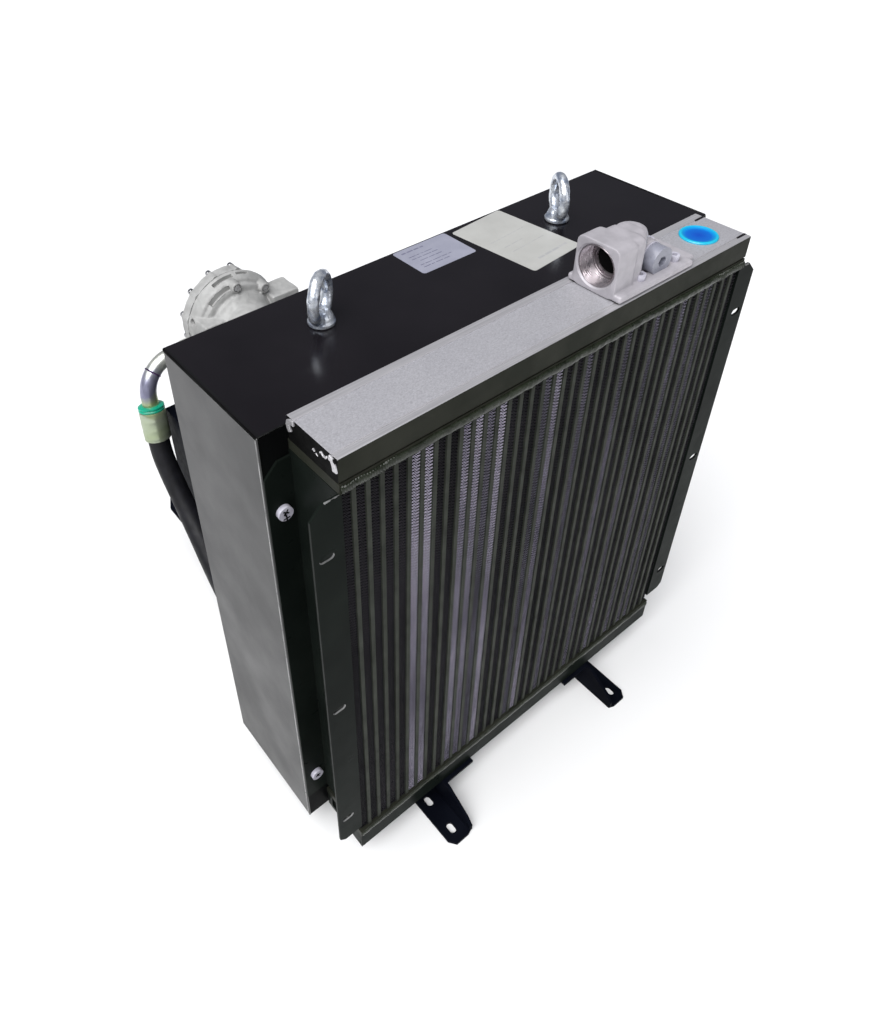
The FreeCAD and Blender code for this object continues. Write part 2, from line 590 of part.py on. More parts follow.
def valve_block():
    """Cast block: oil port on the left, bypass bore with its plug at the front right."""
    front = BOX_FRONT - d.block_front
    rear = BOX_FRONT - d.block_rear
    seat = HEADER_TOP
    base = seat + 1
    top = seat + d.block_height
    port_y = BOX_FRONT - d.port_back
    port_z = seat + d.port_rise
    plug_z = seat + d.plug_rise
    boss_front = BOX_FRONT - d.boss_back
    body = [
        block((d.block_left, d.block_step), (front, rear), (base, top)),
        block((d.block_step, d.block_right - 14), (front + 2, rear - 6), (base, top)),
        block((d.block_right - 14, d.block_right), (front + 10, rear - 20), (base, top)),
        rod(14, top - base, d.block_right - 14, rear - 20, base),
        block((d.block_left, d.flange_right - 10), (BOX_FRONT - 69, BOX_FRONT - 6),
              (base, base + d.block_flange)),
        block((d.flange_right - 30, d.flange_right), (BOX_FRONT - 64, BOX_FRONT - 12),
              (base, base + d.block_flange)),
        block((d.block_right - 14, d.plug_side + d.boss_radius), (boss_front, BOX_FRONT - 9), (base, plug_z)),
        rod(d.boss_radius, 36, d.plug_side, boss_front, plug_z, "Y"),
        rod(11, 16, 104, BOX_FRONT - 52, top - 16),
    ]
    tools = [
        rod(d.port_radius, d.port_depth, d.block_left - 0.01, port_y, port_z, "X"),
        rod(d.port_radius - 4.5, 14, d.block_left + d.port_depth - 1, port_y, port_z, "X"),
        rod(14, d.port_rise + 4, d.block_step, port_y, seat - 1),
        rod(d.plug_bore, 33, d.plug_side, boss_front - 0.01, plug_z, "Y"),
        rod(7, 42, d.block_step + 2, port_y, plug_z, "X"),
        rod(9, 60, 97, BOX_FRONT - 60, base + d.block_flange),
        rod(d.boss_radius + 0.7, 26, d.plug_side, boss_front - 26, plug_z, "Y"),
    ]
    for x, y in BLOCK_SCREWS:
        tools.append(rod(3.3, d.block_flange + 4, x, y, base - 2))
    node("valve_block", subtract(unite(body), tools))

    gasket = block((d.block_left + 2, d.flange_right - 12), (BOX_FRONT - 66, BOX_FRONT - 8), (seat, base))
    holes = [rod(14, 3, d.block_step, port_y, seat - 1)]
    holes += [rod(3.5, 3, x, y, seat - 1) for x, y in BLOCK_SCREWS]
    node("block_gasket", subtract(gasket, holes))

    screws = []
    for x, y in BLOCK_SCREWS:
        on = base + d.block_flange
        screw = unite([rod(5.2, 6, x, y, on), rod(2.5, 13, x, y, on - 13)])
        screws.append(subtract(screw, [hexagon(5, 3.5, x, y, on + 2.5)]))
    node("block_screws", together(screws))

    washer = ring(d.boss_radius, d.plug_bore, 1.5, d.plug_side, boss_front - 1.5, plug_z, "Y")
    node("plug_washer", washer)
    collar = rod(d.plug_head, 12.5, d.plug_side, boss_front - 14, plug_z, "Y")
    thread = rod(d.plug_bore - 0.05, 10, d.plug_side, boss_front - 1.5, plug_z, "Y")
    socket = hexagon(10, 8, d.plug_side, boss_front - 14, plug_z, "Y")
    node("screw_plug", subtract(unite([collar, thread]), [socket]))

    piston = unite([rod(d.plug_bore - 0.3, 9, d.plug_side, boss_front + 19.5, plug_z, "Y"),
                    rod(5, 4, d.plug_side, boss_front + 28.5, plug_z, "Y")])
    node("bypass_piston", piston)
    node("bypass_spring", drawn(coil_spring(d.plug_side, boss_front + d.spring_seat, plug_z)))


def coil_spring(x, y, z):
    """A round wire swept along a helix that starts at x, y, z and runs along Y."""
    points_per_turn = 16
    steps = int(number(d.spring_turns) * points_per_turn)
    radius = number(d.spring_radius)
    line = []
    for step in range(steps + 1):
        turns = step / points_per_turn
        angle = 2 * math.pi * turns
        rise = number(d.spring_pitch) * turns
        line.append(FreeCAD.Vector(radius * math.cos(angle), radius * math.sin(angle), rise))
    curve = Part.BSplineCurve()
    curve.interpolate(line)
    wire_end = Part.makeCircle(number(d.spring_wire), line[0], curve.tangent(curve.FirstParameter)[0])
    coil = Part.Wire([curve.toShape()]).makePipeShell([Part.Wire([wire_end])], True, True)
    coil.rotate(FreeCAD.Vector(), FreeCAD.Vector(1, 0, 0), -90)
    coil.translate(FreeCAD.Vector(number(x), number(y), number(z)))
    return coil


def port_cap():
    """Push-in cap: a raised rim round a shallow dish, and a plug in the port."""
    x = d.cap_side
    y = BOX_FRONT - d.cap_back
    disc = unite([rod(d.cap_rim, 2.5, x, y, HEADER_TOP), rod(d.cap_plug, 8, x, y, HEADER_TOP - 7)])
    node("port_cap", subtract(disc, [rod(d.cap_rim - 6, 2, x, y, HEADER_TOP + 1)]))


# ---------------------------------------------------------------- fan and guard

def blade_section(radius, chord, pitch):
    """A slightly cambered plate section across the blade, at one radius from the fan's axis."""
    angle = math.radians(pitch)
    half = chord / 2
    gauge = number(d.blade_sheet)
    corners = []
    for along, up in ((-half, 0), (0, 6), (half, 0), (half, gauge), (0, 6 + gauge), (-half, gauge)):
        side = along * math.cos(angle) - up * math.sin(angle)
        depth = along * math.sin(angle) + up * math.cos(angle)
        corners.append(FreeCAD.Vector(side, depth, radius))
    return Part.makePolygon(corners + corners[:1])


def fan():
    front = BOX_REAR - d.fan_set_back
    centre = FreeCAD.Vector(0, number(front + d.hub_length / 2), number(AXIS_Z))
    tip = number(d.fan_radius)
    root = number(d.hub_radius) - 10
    sections = [blade_section(root, 42, 42), blade_section(tip * 0.6, 92, 34),
                blade_section(tip * 0.97, 118, 24)]
    hub_end = FreeCAD.Vector(0, -number(d.hub_length), 0)
    hub_core = Part.makeCylinder(number(d.hub_radius), 2 * number(d.hub_length), hub_end,
                                 FreeCAD.Vector(0, 1, 0))
    blade = Part.makeLoft(sections, True, True).cut(hub_core)
    blades = []
    for index in range(int(number(d.blade_count))):
        copy = blade.copy()
        copy.rotate(FreeCAD.Vector(), FreeCAD.Vector(0, 1, 0), index * 360 / number(d.blade_count))
        copy.translate(centre)
        blades.append(copy)
    node("fan_blades", drawn(Part.makeCompound(blades)))
    hub = subtract(rod(d.hub_radius, d.hub_length, 0, front, AXIS_Z, "Y"),
                   [rod(d.drive_radius, d.hub_length, 0, front, AXIS_Z, "Y"),
                    ring(d.hub_radius - 6, 22, 18, 0, front, AXIS_Z, "Y"),
                    ring(d.hub_radius - 6, 22, 18, 0, front + d.hub_length - 18, AXIS_Z, "Y")])
    node("fan_hub", hub)
    clamp = subtract(ring(21, d.drive_radius, 10, 0, front - 10, AXIS_Z, "Y"),
                     [block((-1, 1), (front - 11, front + 1), (AXIS_Z, AXIS_Z + 30))])
    node("fan_clamp", clamp)


def fan_guard():
    """Wire guard: rings on the fan's side, and spokes welded across their back."""
    wire = 1.5
    front = BOX_REAR + d.lip_depth + wire
    turn = TURN["Y"]
    rings = [torus(60 + index * 14, wire, 0, front, AXIS_Z, turn) for index in range(15)]
    spokes = []
    for index in range(8):
        spoke = doc.addObject("Part::Cylinder", "Spoke")
        spoke.Radius = wire
        spoke.Height = 202
        angle = math.radians(index * 45 + 22.5)
        way = FreeCAD.Vector(math.sin(angle), 0, math.cos(angle))
        spoke.Placement = FreeCAD.Placement(FreeCAD.Vector(), FreeCAD.Rotation(FreeCAD.Vector(0, 0, 1), way))
        place(spoke, way.x * 58, front + 2 * wire, AXIS_Z + way.z * 58)
        spokes.append(spoke)
    node("fan_guard", together(rings + spokes))


# ---------------------------------------------------------------- motor and its pedestal

def motor_pedestal():
    gauge = d.pedestal_sheet
    half = d.pedestal_half
    length = (d.pedestal_front, d.pedestal_rear)
    parts = [block((-half, half), length, (PEDESTAL_TOP - gauge, PEDESTAL_TOP))]
    for side in SIDES:
        leg = sorted((side * half, side * (half - gauge)), key=number)
        parts.append(block(leg, length, (d.foot_height, PEDESTAL_TOP)))
        foot = sorted((side * half, side * (d.rail_web - d.rail_flange)), key=number)
        parts.append(block(foot, length, (d.foot_height, d.foot_height + gauge)))
    tools = [rod(d.screw_radius + d.screw_gap, gauge + 2, x, y, d.foot_height - 1)
             for x, y, row in rail_bolt_places() if row > 1]
    tools += [rod(5.3, gauge + 2, x, y, PEDESTAL_TOP - gauge - 1) for x, y in MOTOR_FEET]
    node("motor_pedestal", subtract(unite(parts), tools))


def motor():
    front = d.motor_front
    body_front = front + d.shield_length
    length = d.stator_length
    fins = []
    fin_count = 36
    outer = number(d.motor_radius)
    for index in range(fin_count * 4):
        angle = math.radians((index - 0.5) * 360 / (fin_count * 4))
        radius = outer if index % 4 in (0, 1) else outer - 9
        fins.append(FreeCAD.Vector(radius * math.sin(angle), number(body_front), radius * math.cos(angle)))
    face = Part.Face(Part.makePolygon(fins + fins[:1]))
    finned = face.extrude(FreeCAD.Vector(0, number(length), 0))
    finned.translate(FreeCAD.Vector(0, 0, number(AXIS_Z)))
    parts = [drawn(finned), block((-45, 45), (body_front + 40, body_front + 140), (AXIS_Z + 60, AXIS_Z + 93))]
    for side in SIDES:
        span = sorted((side * 40, side * 85), key=number)
        parts.append(block(span, (front + 45, front + 200), (PEDESTAL_TOP, PEDESTAL_TOP + 12)))
        web = sorted((side * 40, side * 56), key=number)
        parts.append(block(web, (front + 45, front + 200), (PEDESTAL_TOP, PEDESTAL_TOP + 40)))
    bore = rod(d.motor_bore + 0.1, length + 2, 0, body_front - 1, AXIS_Z, "Y")
    holes = [rod(5.3, 16, x, y, PEDESTAL_TOP - 1) for x, y in MOTOR_FEET]
    node("motor_housing", subtract(unite(parts), [bore] + holes))

    for name, start, inside in (("motor_front_shield", front, 6), ("motor_rear_shield", MOTOR_BACK, 0)):
        disc = rod(d.motor_radius - 2, d.shield_length, 0, start, AXIS_Z, "Y")
        seat = rod(26.1, 16, 0, start + inside, AXIS_Z, "Y")
        hole = rod(d.shaft_radius + 1, d.shield_length, 0, start, AXIS_Z, "Y")
        node(name, subtract(disc, [seat, hole]))
    bearings = [ring(26, d.shaft_radius + 0.05, 15, 0, start, AXIS_Z, "Y")
                for start in (front + 6.5, MOTOR_BACK + 0.5)]
    node("motor_bearings", together(bearings))

    core = (body_front + 30, 125)
    node("stator_core", ring(d.motor_bore, d.rotor_radius + d.air_gap, core[1], 0, core[0], AXIS_Z, "Y"))
    heads = [ring(d.motor_bore - 4, d.rotor_radius + 5, 22, 0, start, AXIS_Z, "Y")
             for start in (core[0] - 22, core[0] + core[1])]
    node("stator_windings", together(heads))
    node("motor_rotor", ring(d.rotor_radius, d.shaft_radius, core[1] + 6, 0, core[0] - 3, AXIS_Z, "Y"))

    shaft_front = BOX_REAR - d.fan_set_back - 12
    gear_end = PUMP_JOINT - 3
    shaft = unite([
        rod(d.drive_radius, front + 4 - shaft_front, 0, shaft_front, AXIS_Z, "Y"),
        rod(d.shaft_radius, MOTOR_BACK + d.shield_length - front - 6, 0, front + 3, AXIS_Z, "Y"),
        rod(d.drive_radius, gear_end - MOTOR_BACK, 0, MOTOR_BACK, AXIS_Z, "Y"),
    ])
    node("motor_shaft", shaft)

    bolts = []
    for x, y in MOTOR_FEET:
        on = PEDESTAL_TOP + 12
        bolts.append(unite([hexagon(16, 6.5, x, y, on), rod(5, 26, x, y, on - 26),
                            hexagon(16, 8, x, y, PEDESTAL_TOP - d.pedestal_sheet - 8)]))
    node("motor_bolts", together(bolts))


def terminal_box():
    low = AXIS_Z + 93
    span = (d.motor_front + d.shield_length + 42, d.motor_front + d.shield_length + 138)
    shell = block((-50, 50), span, (low, low + 45))
    hollow = block((-47, 47), (span[0] + 3, span[1] - 3), (low + 3, low + 46))
    glands = []
    tools = [hollow]
    for y in (span[0] + 28, span[0] + 68):
        tools.append(rod(10.2, 6, 46, y, low + 22, "X"))
        glands.append(subtract(unite([rod(10, 12, 45, y, low + 22, "X"), hexagon(27, 6, 50, y, low + 22, "X"),
                                      cone(12, 9, 16, 56, y, low + 22, "X")]),
                               [rod(6, 30, 44, y, low + 22, "X")]))
    node("terminal_box", subtract(shell, tools))
    node("terminal_lid", block((-51, 51), (span[0] - 1, span[1] + 1), (low + 45, low + 53)))
    node("cable_glands", together(glands))
    screws = [rod(3.5, 2.5, x, y, low + 53) for x in (-43, 43) for y in (span[0] + 7, span[1] - 7)]
    node("lid_screws", together(screws))


# ---------------------------------------------------------------- pump

GEAR_PITCH = d.gear_module * d.gear_teeth / 2
GEAR_REAR = PUMP_JOINT - 2
IDLER_X = 2 * GEAR_PITCH


def gear_outline(phase):
    """Spur gear outline with straight flanks; phase turns it in tooth pitches."""
    teeth = int(number(d.gear_teeth))
    module = number(d.gear_module)
    pitch = number(GEAR_PITCH)
    tip = pitch + 0.85 * module
    root = pitch - 1.1 * module
    step = 2 * math.pi / teeth
    corners = []
    for index in range(teeth):
        middle = (index + phase) * step
        for radius, share in ((root, -0.34), (tip, -0.12), (tip, 0.12), (root, 0.34)):
            angle = middle + share * step
            corners.append(FreeCAD.Vector(radius * math.cos(angle), 0, radius * math.sin(angle)))
    return Part.Face(Part.makePolygon(corners + corners[:1]))


def gear(name, x, phase, parts):
    start = GEAR_REAR - d.gear_width
    solid = gear_outline(phase).extrude(FreeCAD.Vector(0, number(d.gear_width), 0))
    solid.translate(FreeCAD.Vector(number(x), number(start), number(AXIS_Z)))
    wheel = drawn(solid)
    if parts:
        node(name, unite([wheel] + parts))
    else:
        node(name, subtract(wheel, [rod(d.drive_radius, d.gear_width, x, start, AXIS_Z, "Y")]))


def around(radius, angles):
    """Places on a circle round the shaft; the angles are in degrees from the top, clockwise."""
    turns = [math.radians(angle) for angle in angles]
    return [(radius * math.sin(turn), AXIS_Z + radius * math.cos(turn)) for turn in turns]


def rim_angles():
    """Angles of the rim's screws. The one on the flat is left out."""
    count = int(number(d.rim_screws))
    angles = [15 + index * 360 / count for index in range(count)]
    return [angle for angle in angles if angle != 45]


def flat_tool(start, length):
    """The space outside the flat at the upper right of the pump."""
    tool = turned(doc.addObject("Part::Box", "Flat"), FreeCAD.Rotation(FreeCAD.Vector(0, 1, 0), 45))
    bind(tool, "Length", 120)
    bind(tool, "Width", length)
    bind(tool, "Height", 40)
    share = math.sqrt(0.5)
    return place(tool, (d.flat_distance - 60) * share, start, AXIS_Z + (d.flat_distance + 60) * share)


def pump():
    """Gear pump behind the motor: neck, face with lugs, bell, and a cover screwed on at the rear."""
    start = PUMP_FRONT
    face = PUMP_FACE
    joint = PUMP_JOINT
    gears = GEAR_REAR - d.gear_width - 0.3
    tip = GEAR_PITCH + 0.85 * d.gear_module + d.gear_gap
    outlet_y = ELBOW_START[1]
    outlet_z = ELBOW_START[2]
    round_parts = [
        rod(d.pump_flange, 14, 0, start, AXIS_Z, "Y"),
        rod(d.pump_neck, face - start - 10, 0, start + 12, AXIS_Z, "Y"),
        cone(d.pump_neck, 52, 10, 0, face - 8, AXIS_Z, "Y"),
        rod(d.face_radius, 12, 0, face, AXIS_Z, "Y"),
        cone(d.bell_front, d.bell_rear, joint - face - 10, 0, face + 10, AXIS_Z, "Y"),
    ]
    body = [
        subtract(unite(round_parts), [flat_tool(face, d.face_length)]),
        block((-73, -30), (joint - 50, joint), (AXIS_Z - 34, AXIS_Z + 31)),
        rod(14, 14, -d.outlet_side, outlet_y, outlet_z, "X"),
        block((50, 99), (joint - 48, joint), (AXIS_Z - 14, AXIS_Z + 36)),
    ]
    for x, z in around(d.lug_circle, LUG_ANGLES):
        body.append(rod(9, 20, x, face - 4, z, "Y"))
    tools = [
        rod(tip, joint - gears, 0, gears, AXIS_Z, "Y"),
        rod(tip, joint - gears, IDLER_X, gears, AXIS_Z, "Y"),
        rod(8.1, 20, IDLER_X, gears - 14, AXIS_Z, "Y"),
        rod(d.drive_radius + 0.5, gears - start + 2, 0, start - 1, AXIS_Z, "Y"),
        rod(20, 12, 0, start - 0.01, AXIS_Z, "Y"),
        rod(d.suction_radius, 20, 79.01, joint - 22, AXIS_Z + 11, "X"),
        rod(9, 26, 54, joint - 15, AXIS_Z + 11, "X"),
        rod(9, d.outlet_side - 15, -d.outlet_side - 0.01, outlet_y, outlet_z, "X"),
        rod(6.5, 8, -73.01, joint - 9, AXIS_Z + 21, "X"),
    ]
    for x, z in around(d.lug_circle, LUG_ANGLES):
        tools.append(rod(6.2, 5, x, face - 4.01, z, "Y"))
    node("pump_body", subtract(unite(body), tools))
    node("shaft_seal", ring(20, d.drive_radius + 0.05, 8, 0, start + 3, AXIS_Z, "Y"))

    gear("pump_drive_gear", 0, 0, [])
    spindle = rod(8, d.gear_width + 26, IDLER_X, GEAR_REAR - d.gear_width - 13, AXIS_Z, "Y")
    gear("pump_idler_gear", IDLER_X, 0.5, [spindle])

    cover = [rod(d.rim_radius, d.rim_length, 0, joint, AXIS_Z, "Y")]
    for x, z in around(d.rim_circle, rim_angles()):
        cover.append(rod(8, d.rim_length, x, joint, z, "Y"))
    trimmed = subtract(unite(cover), [flat_tool(joint, d.rim_length)])
    hub = rod(60, d.cover_length, 0, RIM_REAR, AXIS_Z, "Y")
    spindle_bore = rod(8.1, 14, IDLER_X, joint - 1, AXIS_Z, "Y")
    node("pump_cover", subtract(unite([trimmed, hub]), [spindle_bore]))
    screws = [rod(5.5, 4, -69.01, joint - 9, AXIS_Z + 21, "X")]
    for x, z in around(d.rim_circle, rim_angles()):
        head = rod(5, 6, x, RIM_REAR, z, "Y")
        screws.append(subtract(head, [hexagon(5, 3, x, RIM_REAR + 3, z, "Y")]))
    for x, z in around(d.lug_circle, LUG_ANGLES):
        screws.append(rod(5, 4, x, face - 3.01, z, "Y"))
    node("pump_screws", together(screws))


# ---------------------------------------------------------------- pressure line

HOSE_START = FreeCAD.Vector(*HOSE_ROUTE[0])
FERRULE_WAY = (HOSE_START - FreeCAD.Vector(*HOSE_ROUTE[1])).normalize()
FERRULE_TOP = HOSE_START + FERRULE_WAY * number(d.ferrule_length)
ELBOW_END = FERRULE_TOP + FERRULE_WAY * number(d.ring_length)


def elbow_path():
    """Centre line of the elbow: out of the pump to the left, then down into the ferrule."""
    bend = number(d.elbow_bend)
    left = FreeCAD.Vector(-1, 0, 0)
    down = FERRULE_WAY * -1
    turn = left.getAngle(down)
    straight = 12
    arc_end = ELBOW_END + FERRULE_WAY * straight
    reach = bend * math.tan(turn / 2)
    corner = arc_end + FERRULE_WAY * reach
    arc_start = corner - left * reach
    middle = corner + (arc_start - corner + arc_end - corner).normalize() * (
        bend / math.cos(turn / 2) - bend)
    start = FreeCAD.Vector(-number(d.outlet_side), arc_start.y, arc_start.z)
    return start, arc_start, middle, arc_end


ELBOW_START = elbow_path()[0]


def swept(edges, radius, at, way):
    path = Part.Wire(edges)
    profile = Part.Wire([Part.makeCircle(radius, at, way)])
    return path.makePipeShell([profile], True, False)


def pressure_line():
    start, arc_start, middle, arc_end = elbow_path()
    radius = number(d.elbow_radius)
    left = FreeCAD.Vector(-1, 0, 0)
    edges = [Part.LineSegment(start, arc_start).toShape(), Part.Arc(arc_start, middle, arc_end).toShape(),
             Part.LineSegment(arc_end, ELBOW_END).toShape()]
    outer = swept(edges, radius, start, left)
    inner = swept(edges, radius - 2.5, start, left)
    node("elbow_tube", drawn(outer.cut(inner)))
    elbow_nut = nut(30, 14, d.elbow_radius + 0.1, start.x - 14, start.y, start.z, "X")
    node("elbow_nut", elbow_nut)

    def sleeve(length, at, size, bore):
        tube = Part.makeCylinder(size, length, at, FERRULE_WAY)
        return tube.cut(Part.makeCylinder(bore, length, at, FERRULE_WAY)) if bore else tube

    green = sleeve(number(d.ring_length), FERRULE_TOP, number(d.ring_radius), radius + 0.1)
    node("hose_ring", drawn(green))
    node("upper_ferrule", drawn(sleeve(number(d.ferrule_length), HOSE_START, number(d.ferrule_radius), 0)))

    end = FreeCAD.Vector(*HOSE_ROUTE[-1])
    pipe_z = BOX_BOTTOM + d.inlet_rise
    pipe_end = BOX_REAR + 22
    pipe = ring(d.inlet_radius, d.inlet_radius - d.inlet_wall, pipe_end - TANK_REAR, -d.inlet_side,
                TANK_REAR, pipe_z, "Y")
    node("inlet_pipe", pipe)
    collar = rod(16, end.y - d.ferrule_length - BOX_REAR - 7, -d.inlet_side, BOX_REAR + 7, pipe_z, "Y")
    sleeve_end = rod(d.ferrule_radius, d.ferrule_length, end.x, end.y - d.ferrule_length, end.z, "Y")
    socket = rod(d.inlet_radius + 0.1, pipe_end - BOX_REAR - 7, -d.inlet_side, BOX_REAR + 7, pipe_z, "Y")
    node("lower_ferrule", subtract(unite([collar, sleeve_end]), [socket]))


def hose():
    """Free hose: straight runs joined by tangent arcs along the route."""
    points = [FreeCAD.Vector(*point) for point in HOSE_ROUTE]
    radius = number(d.hose_radius)
    edges = []
    here = points[0]
    for before, corner, after in zip(points, points[1:], points[2:]):
        way_in = (corner - before).normalize()
        way_out = (after - corner).normalize()
        shorter = min(corner.distanceToPoint(before), after.distanceToPoint(corner))
        turn = way_in.getAngle(way_out)
        setback = 0.45 * shorter
        bend = setback / math.tan(turn / 2)
        arc_in = corner - way_in * setback
        arc_out = corner + way_out * setback
        inward = (arc_in - corner + arc_out - corner).normalize()
        middle = corner + inward * (bend / math.cos(turn / 2) - bend)
        edges.append(Part.LineSegment(here, arc_in).toShape())
        edges.append(Part.Arc(arc_in, middle, arc_out).toShape())
        here = arc_out
        print(f"hose bend {math.degrees(turn):5.1f} deg, radius {bend:6.1f}, runs from {shorter:5.1f}")
    edges.append(Part.LineSegment(here, points[-1]).toShape())
    tube = swept(edges, radius, points[0], points[1] - points[0])
    length = Part.Wire(edges).Length
    print(f"hose length {length:.1f}, volume ratio {tube.Volume / (math.pi * radius ** 2 * length):.4f}")
    node("pressure_hose", drawn(tube))


# ---------------------------------------------------------------- document

def build():
    build_core()
    header_top()
    header_bottom()
    header_end_caps()
    side_plate("side_plate_left", -1)
    side_plate("side_plate_right", 1)
    core_screws()
    fan_housing()
    shroud_panel()
    foot_rail("foot_rail_left", -1)
    foot_rail("foot_rail_right", 1)
    rail_bolts()
    eye_bolt("eye_bolt_left", -1, 53)
    eye_bolt("eye_bolt_right", 1, 34)
    eye_nuts()
    labels()
    valve_block()
    port_cap()
    fan()
    fan_guard()
    motor_pedestal()
    motor()
    terminal_box()
    pump()
    pressure_line()
    hose()


def check():
    """Stop if any object failed, or a finished piece has no valid shape."""
    doc.recompute()
    for item in doc.Objects:
        if "Invalid" in item.State or "Error" in item.State:
            raise RuntimeError(f"{item.Label} is {item.State}")
    bad = [solid.Label for solid in NODES
           if solid.Shape.isNull() or not solid.Shape.isValid() or not solid.Shape.Solids]
    if bad:
        raise RuntimeError(f"no valid shape: {bad}")


def export():
    os.makedirs("parts", exist_ok=True)
    for solid in NODES:
        solid.Shape.exportStep(f"parts/{solid.Label}.step")
    print(len(NODES), "pieces written")


build()
check()
export()
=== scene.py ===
import json
import math
import random

import bmesh
import bpy
from mathutils import Euler, Matrix, Vector, noise


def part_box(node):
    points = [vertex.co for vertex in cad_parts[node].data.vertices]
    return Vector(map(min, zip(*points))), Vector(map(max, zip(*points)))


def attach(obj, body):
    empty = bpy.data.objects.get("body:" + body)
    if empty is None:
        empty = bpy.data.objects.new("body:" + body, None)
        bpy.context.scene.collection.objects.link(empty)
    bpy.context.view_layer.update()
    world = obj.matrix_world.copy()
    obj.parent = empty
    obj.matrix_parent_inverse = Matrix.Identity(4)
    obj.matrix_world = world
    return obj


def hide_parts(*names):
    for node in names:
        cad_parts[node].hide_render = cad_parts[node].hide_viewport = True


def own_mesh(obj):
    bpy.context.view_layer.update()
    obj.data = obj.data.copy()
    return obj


# Looks of the hydraulic oil cooler. Lengths are metres in the frame of the CAD model: X along the
# face of the core, +Y from the core towards the pump, +Z up. Most measures are written in
# millimetres and multiplied by MM.

MM = 0.001
random.seed(7)
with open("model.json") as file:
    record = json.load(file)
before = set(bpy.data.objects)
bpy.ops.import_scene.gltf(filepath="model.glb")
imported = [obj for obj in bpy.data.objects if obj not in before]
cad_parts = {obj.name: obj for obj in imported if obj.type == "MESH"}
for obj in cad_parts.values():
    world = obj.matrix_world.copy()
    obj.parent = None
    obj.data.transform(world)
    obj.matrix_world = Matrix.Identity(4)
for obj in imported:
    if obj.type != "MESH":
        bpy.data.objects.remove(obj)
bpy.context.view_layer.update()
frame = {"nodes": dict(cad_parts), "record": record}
nodes = frame["nodes"]


# ---- camera

CAMERA_PLACE = (-0.5153, -0.7034, 1.0939)
CAMERA_TURN = (51.488, 1.123, -38.307)
CAMERA_LENS = 29.76
CAMERA_SHIFT = (0.0682, -0.1164)


def make_camera():
    data = bpy.data.cameras.new("camera")
    data.lens = CAMERA_LENS
    data.shift_x, data.shift_y = CAMERA_SHIFT
    camera = bpy.data.objects.new("camera", data)
    camera.location = CAMERA_PLACE
    camera.rotation_euler = Euler([math.radians(angle) for angle in CAMERA_TURN])
    bpy.context.scene.collection.objects.link(camera)
    bpy.context.scene.camera = camera


# ---- small helpers

def linked(name, mesh):
    """A new piece that rides on the frame."""
    piece = bpy.data.objects.new(name, mesh)
    bpy.context.scene.collection.objects.link(piece)
    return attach(piece, "frame")


def mesh_from(name, points, faces):
    mesh = bpy.data.meshes.new(name)
    mesh.from_pydata([tuple(p) for p in points], [], faces)
    mesh.update()
    return mesh


def mesh_of(shape, name):
    """A mesh made from a bmesh, with its faces turned outwards."""
    bmesh.ops.recalc_face_normals(shape, faces=shape.faces)
    mesh = bpy.data.meshes.new(name)
    shape.to_mesh(mesh)
    shape.free()
    return mesh


def smooth_by_angle(mesh, degrees=35):
    mesh.shade_smooth()
    mesh.set_sharp_from_angle(angle=math.radians(degrees))


def finished(piece, material, slot, *replaced):
    """Give a new piece a named material, and hide the CAD parts that it replaces."""
    piece.data.materials.clear()
    piece.data.materials.append(MATERIALS[material])
    if replaced:
        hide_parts(*replaced)
    return piece


def skin(rings, capped=True):
    """Points and faces of a tube through closed rings of equal length."""
    count = len(rings[0])
    points = [p for ring in rings for p in ring]
    faces = []
    for row in range(len(rings) - 1):
        for i in range(count):
            j = (i + 1) % count
            faces.append((row * count + i, row * count + j, (row + 1) * count + j, (row + 1) * count + i))
    if capped:
        faces.append(tuple(reversed(range(count))))
        last = (len(rings) - 1) * count
        faces.append(tuple(range(last, last + count)))
    return points, faces


def turned(profile, start, way, count, capped=True, name="turned"):
    """A turned shape: profile holds (distance along, radius) pairs in millimetres."""
    way = Vector(way).normalized()
    side = way.orthogonal().normalized()
    other = way.cross(side)
    rings = []
    for along, radius in profile:
        centre = Vector(start) + way * (along * MM)
        rings.append([centre + (side * math.cos(t) + other * math.sin(t)) * (radius * MM)
                      for t in (2 * math.pi * i / count for i in range(count))])
    return mesh_from(name, *skin(rings, capped))


def lathe(name, profile, start, way, count=64, capped=True):
    """A turned piece with smooth shading."""
    mesh = turned(profile, start, way, count, capped, name)
    smooth_by_angle(mesh)
    return linked(name, mesh)


def box_mesh(name, low, high, radius=0, segments=3, kept_sharp=None):
    """A box between two corners, its edges rounded by a radius where one is given."""
    shape = bmesh.new()
    bmesh.ops.create_cube(shape, size=1)
    size = Vector(high) - Vector(low)
    centre = (Vector(high) + Vector(low)) / 2
    bmesh.ops.transform(shape, matrix=Matrix.Translation(centre) @ Matrix.Diagonal((*size, 1)),
                        verts=shape.verts)
    if radius:
        edges = [edge for edge in shape.edges if kept_sharp is None or not kept_sharp(edge)]
        bmesh.ops.bevel(shape, geom=edges, offset=radius, segments=segments, profile=0.5, affect="EDGES")
    return mesh_of(shape, name)


def joined(name, meshes):
    """One mesh that holds several."""
    shape = bmesh.new()
    for mesh in meshes:
        shape.from_mesh(mesh)
    return mesh_of(shape, name)


def bevelled(piece, width, segments=2, angle=40):
    bevel = piece.modifiers.new("bevel", "BEVEL")
    bevel.width = width
    bevel.segments = segments
    bevel.limit_method = "ANGLE"
    bevel.angle_limit = math.radians(angle)
    bevel.harden_normals = True


def baked(piece):
    """Apply the piece's modifiers to its mesh."""
    graph = bpy.context.evaluated_depsgraph_get()
    mesh = bpy.data.meshes.new_from_object(piece.evaluated_get(graph))
    piece.modifiers.clear()
    piece.data = mesh


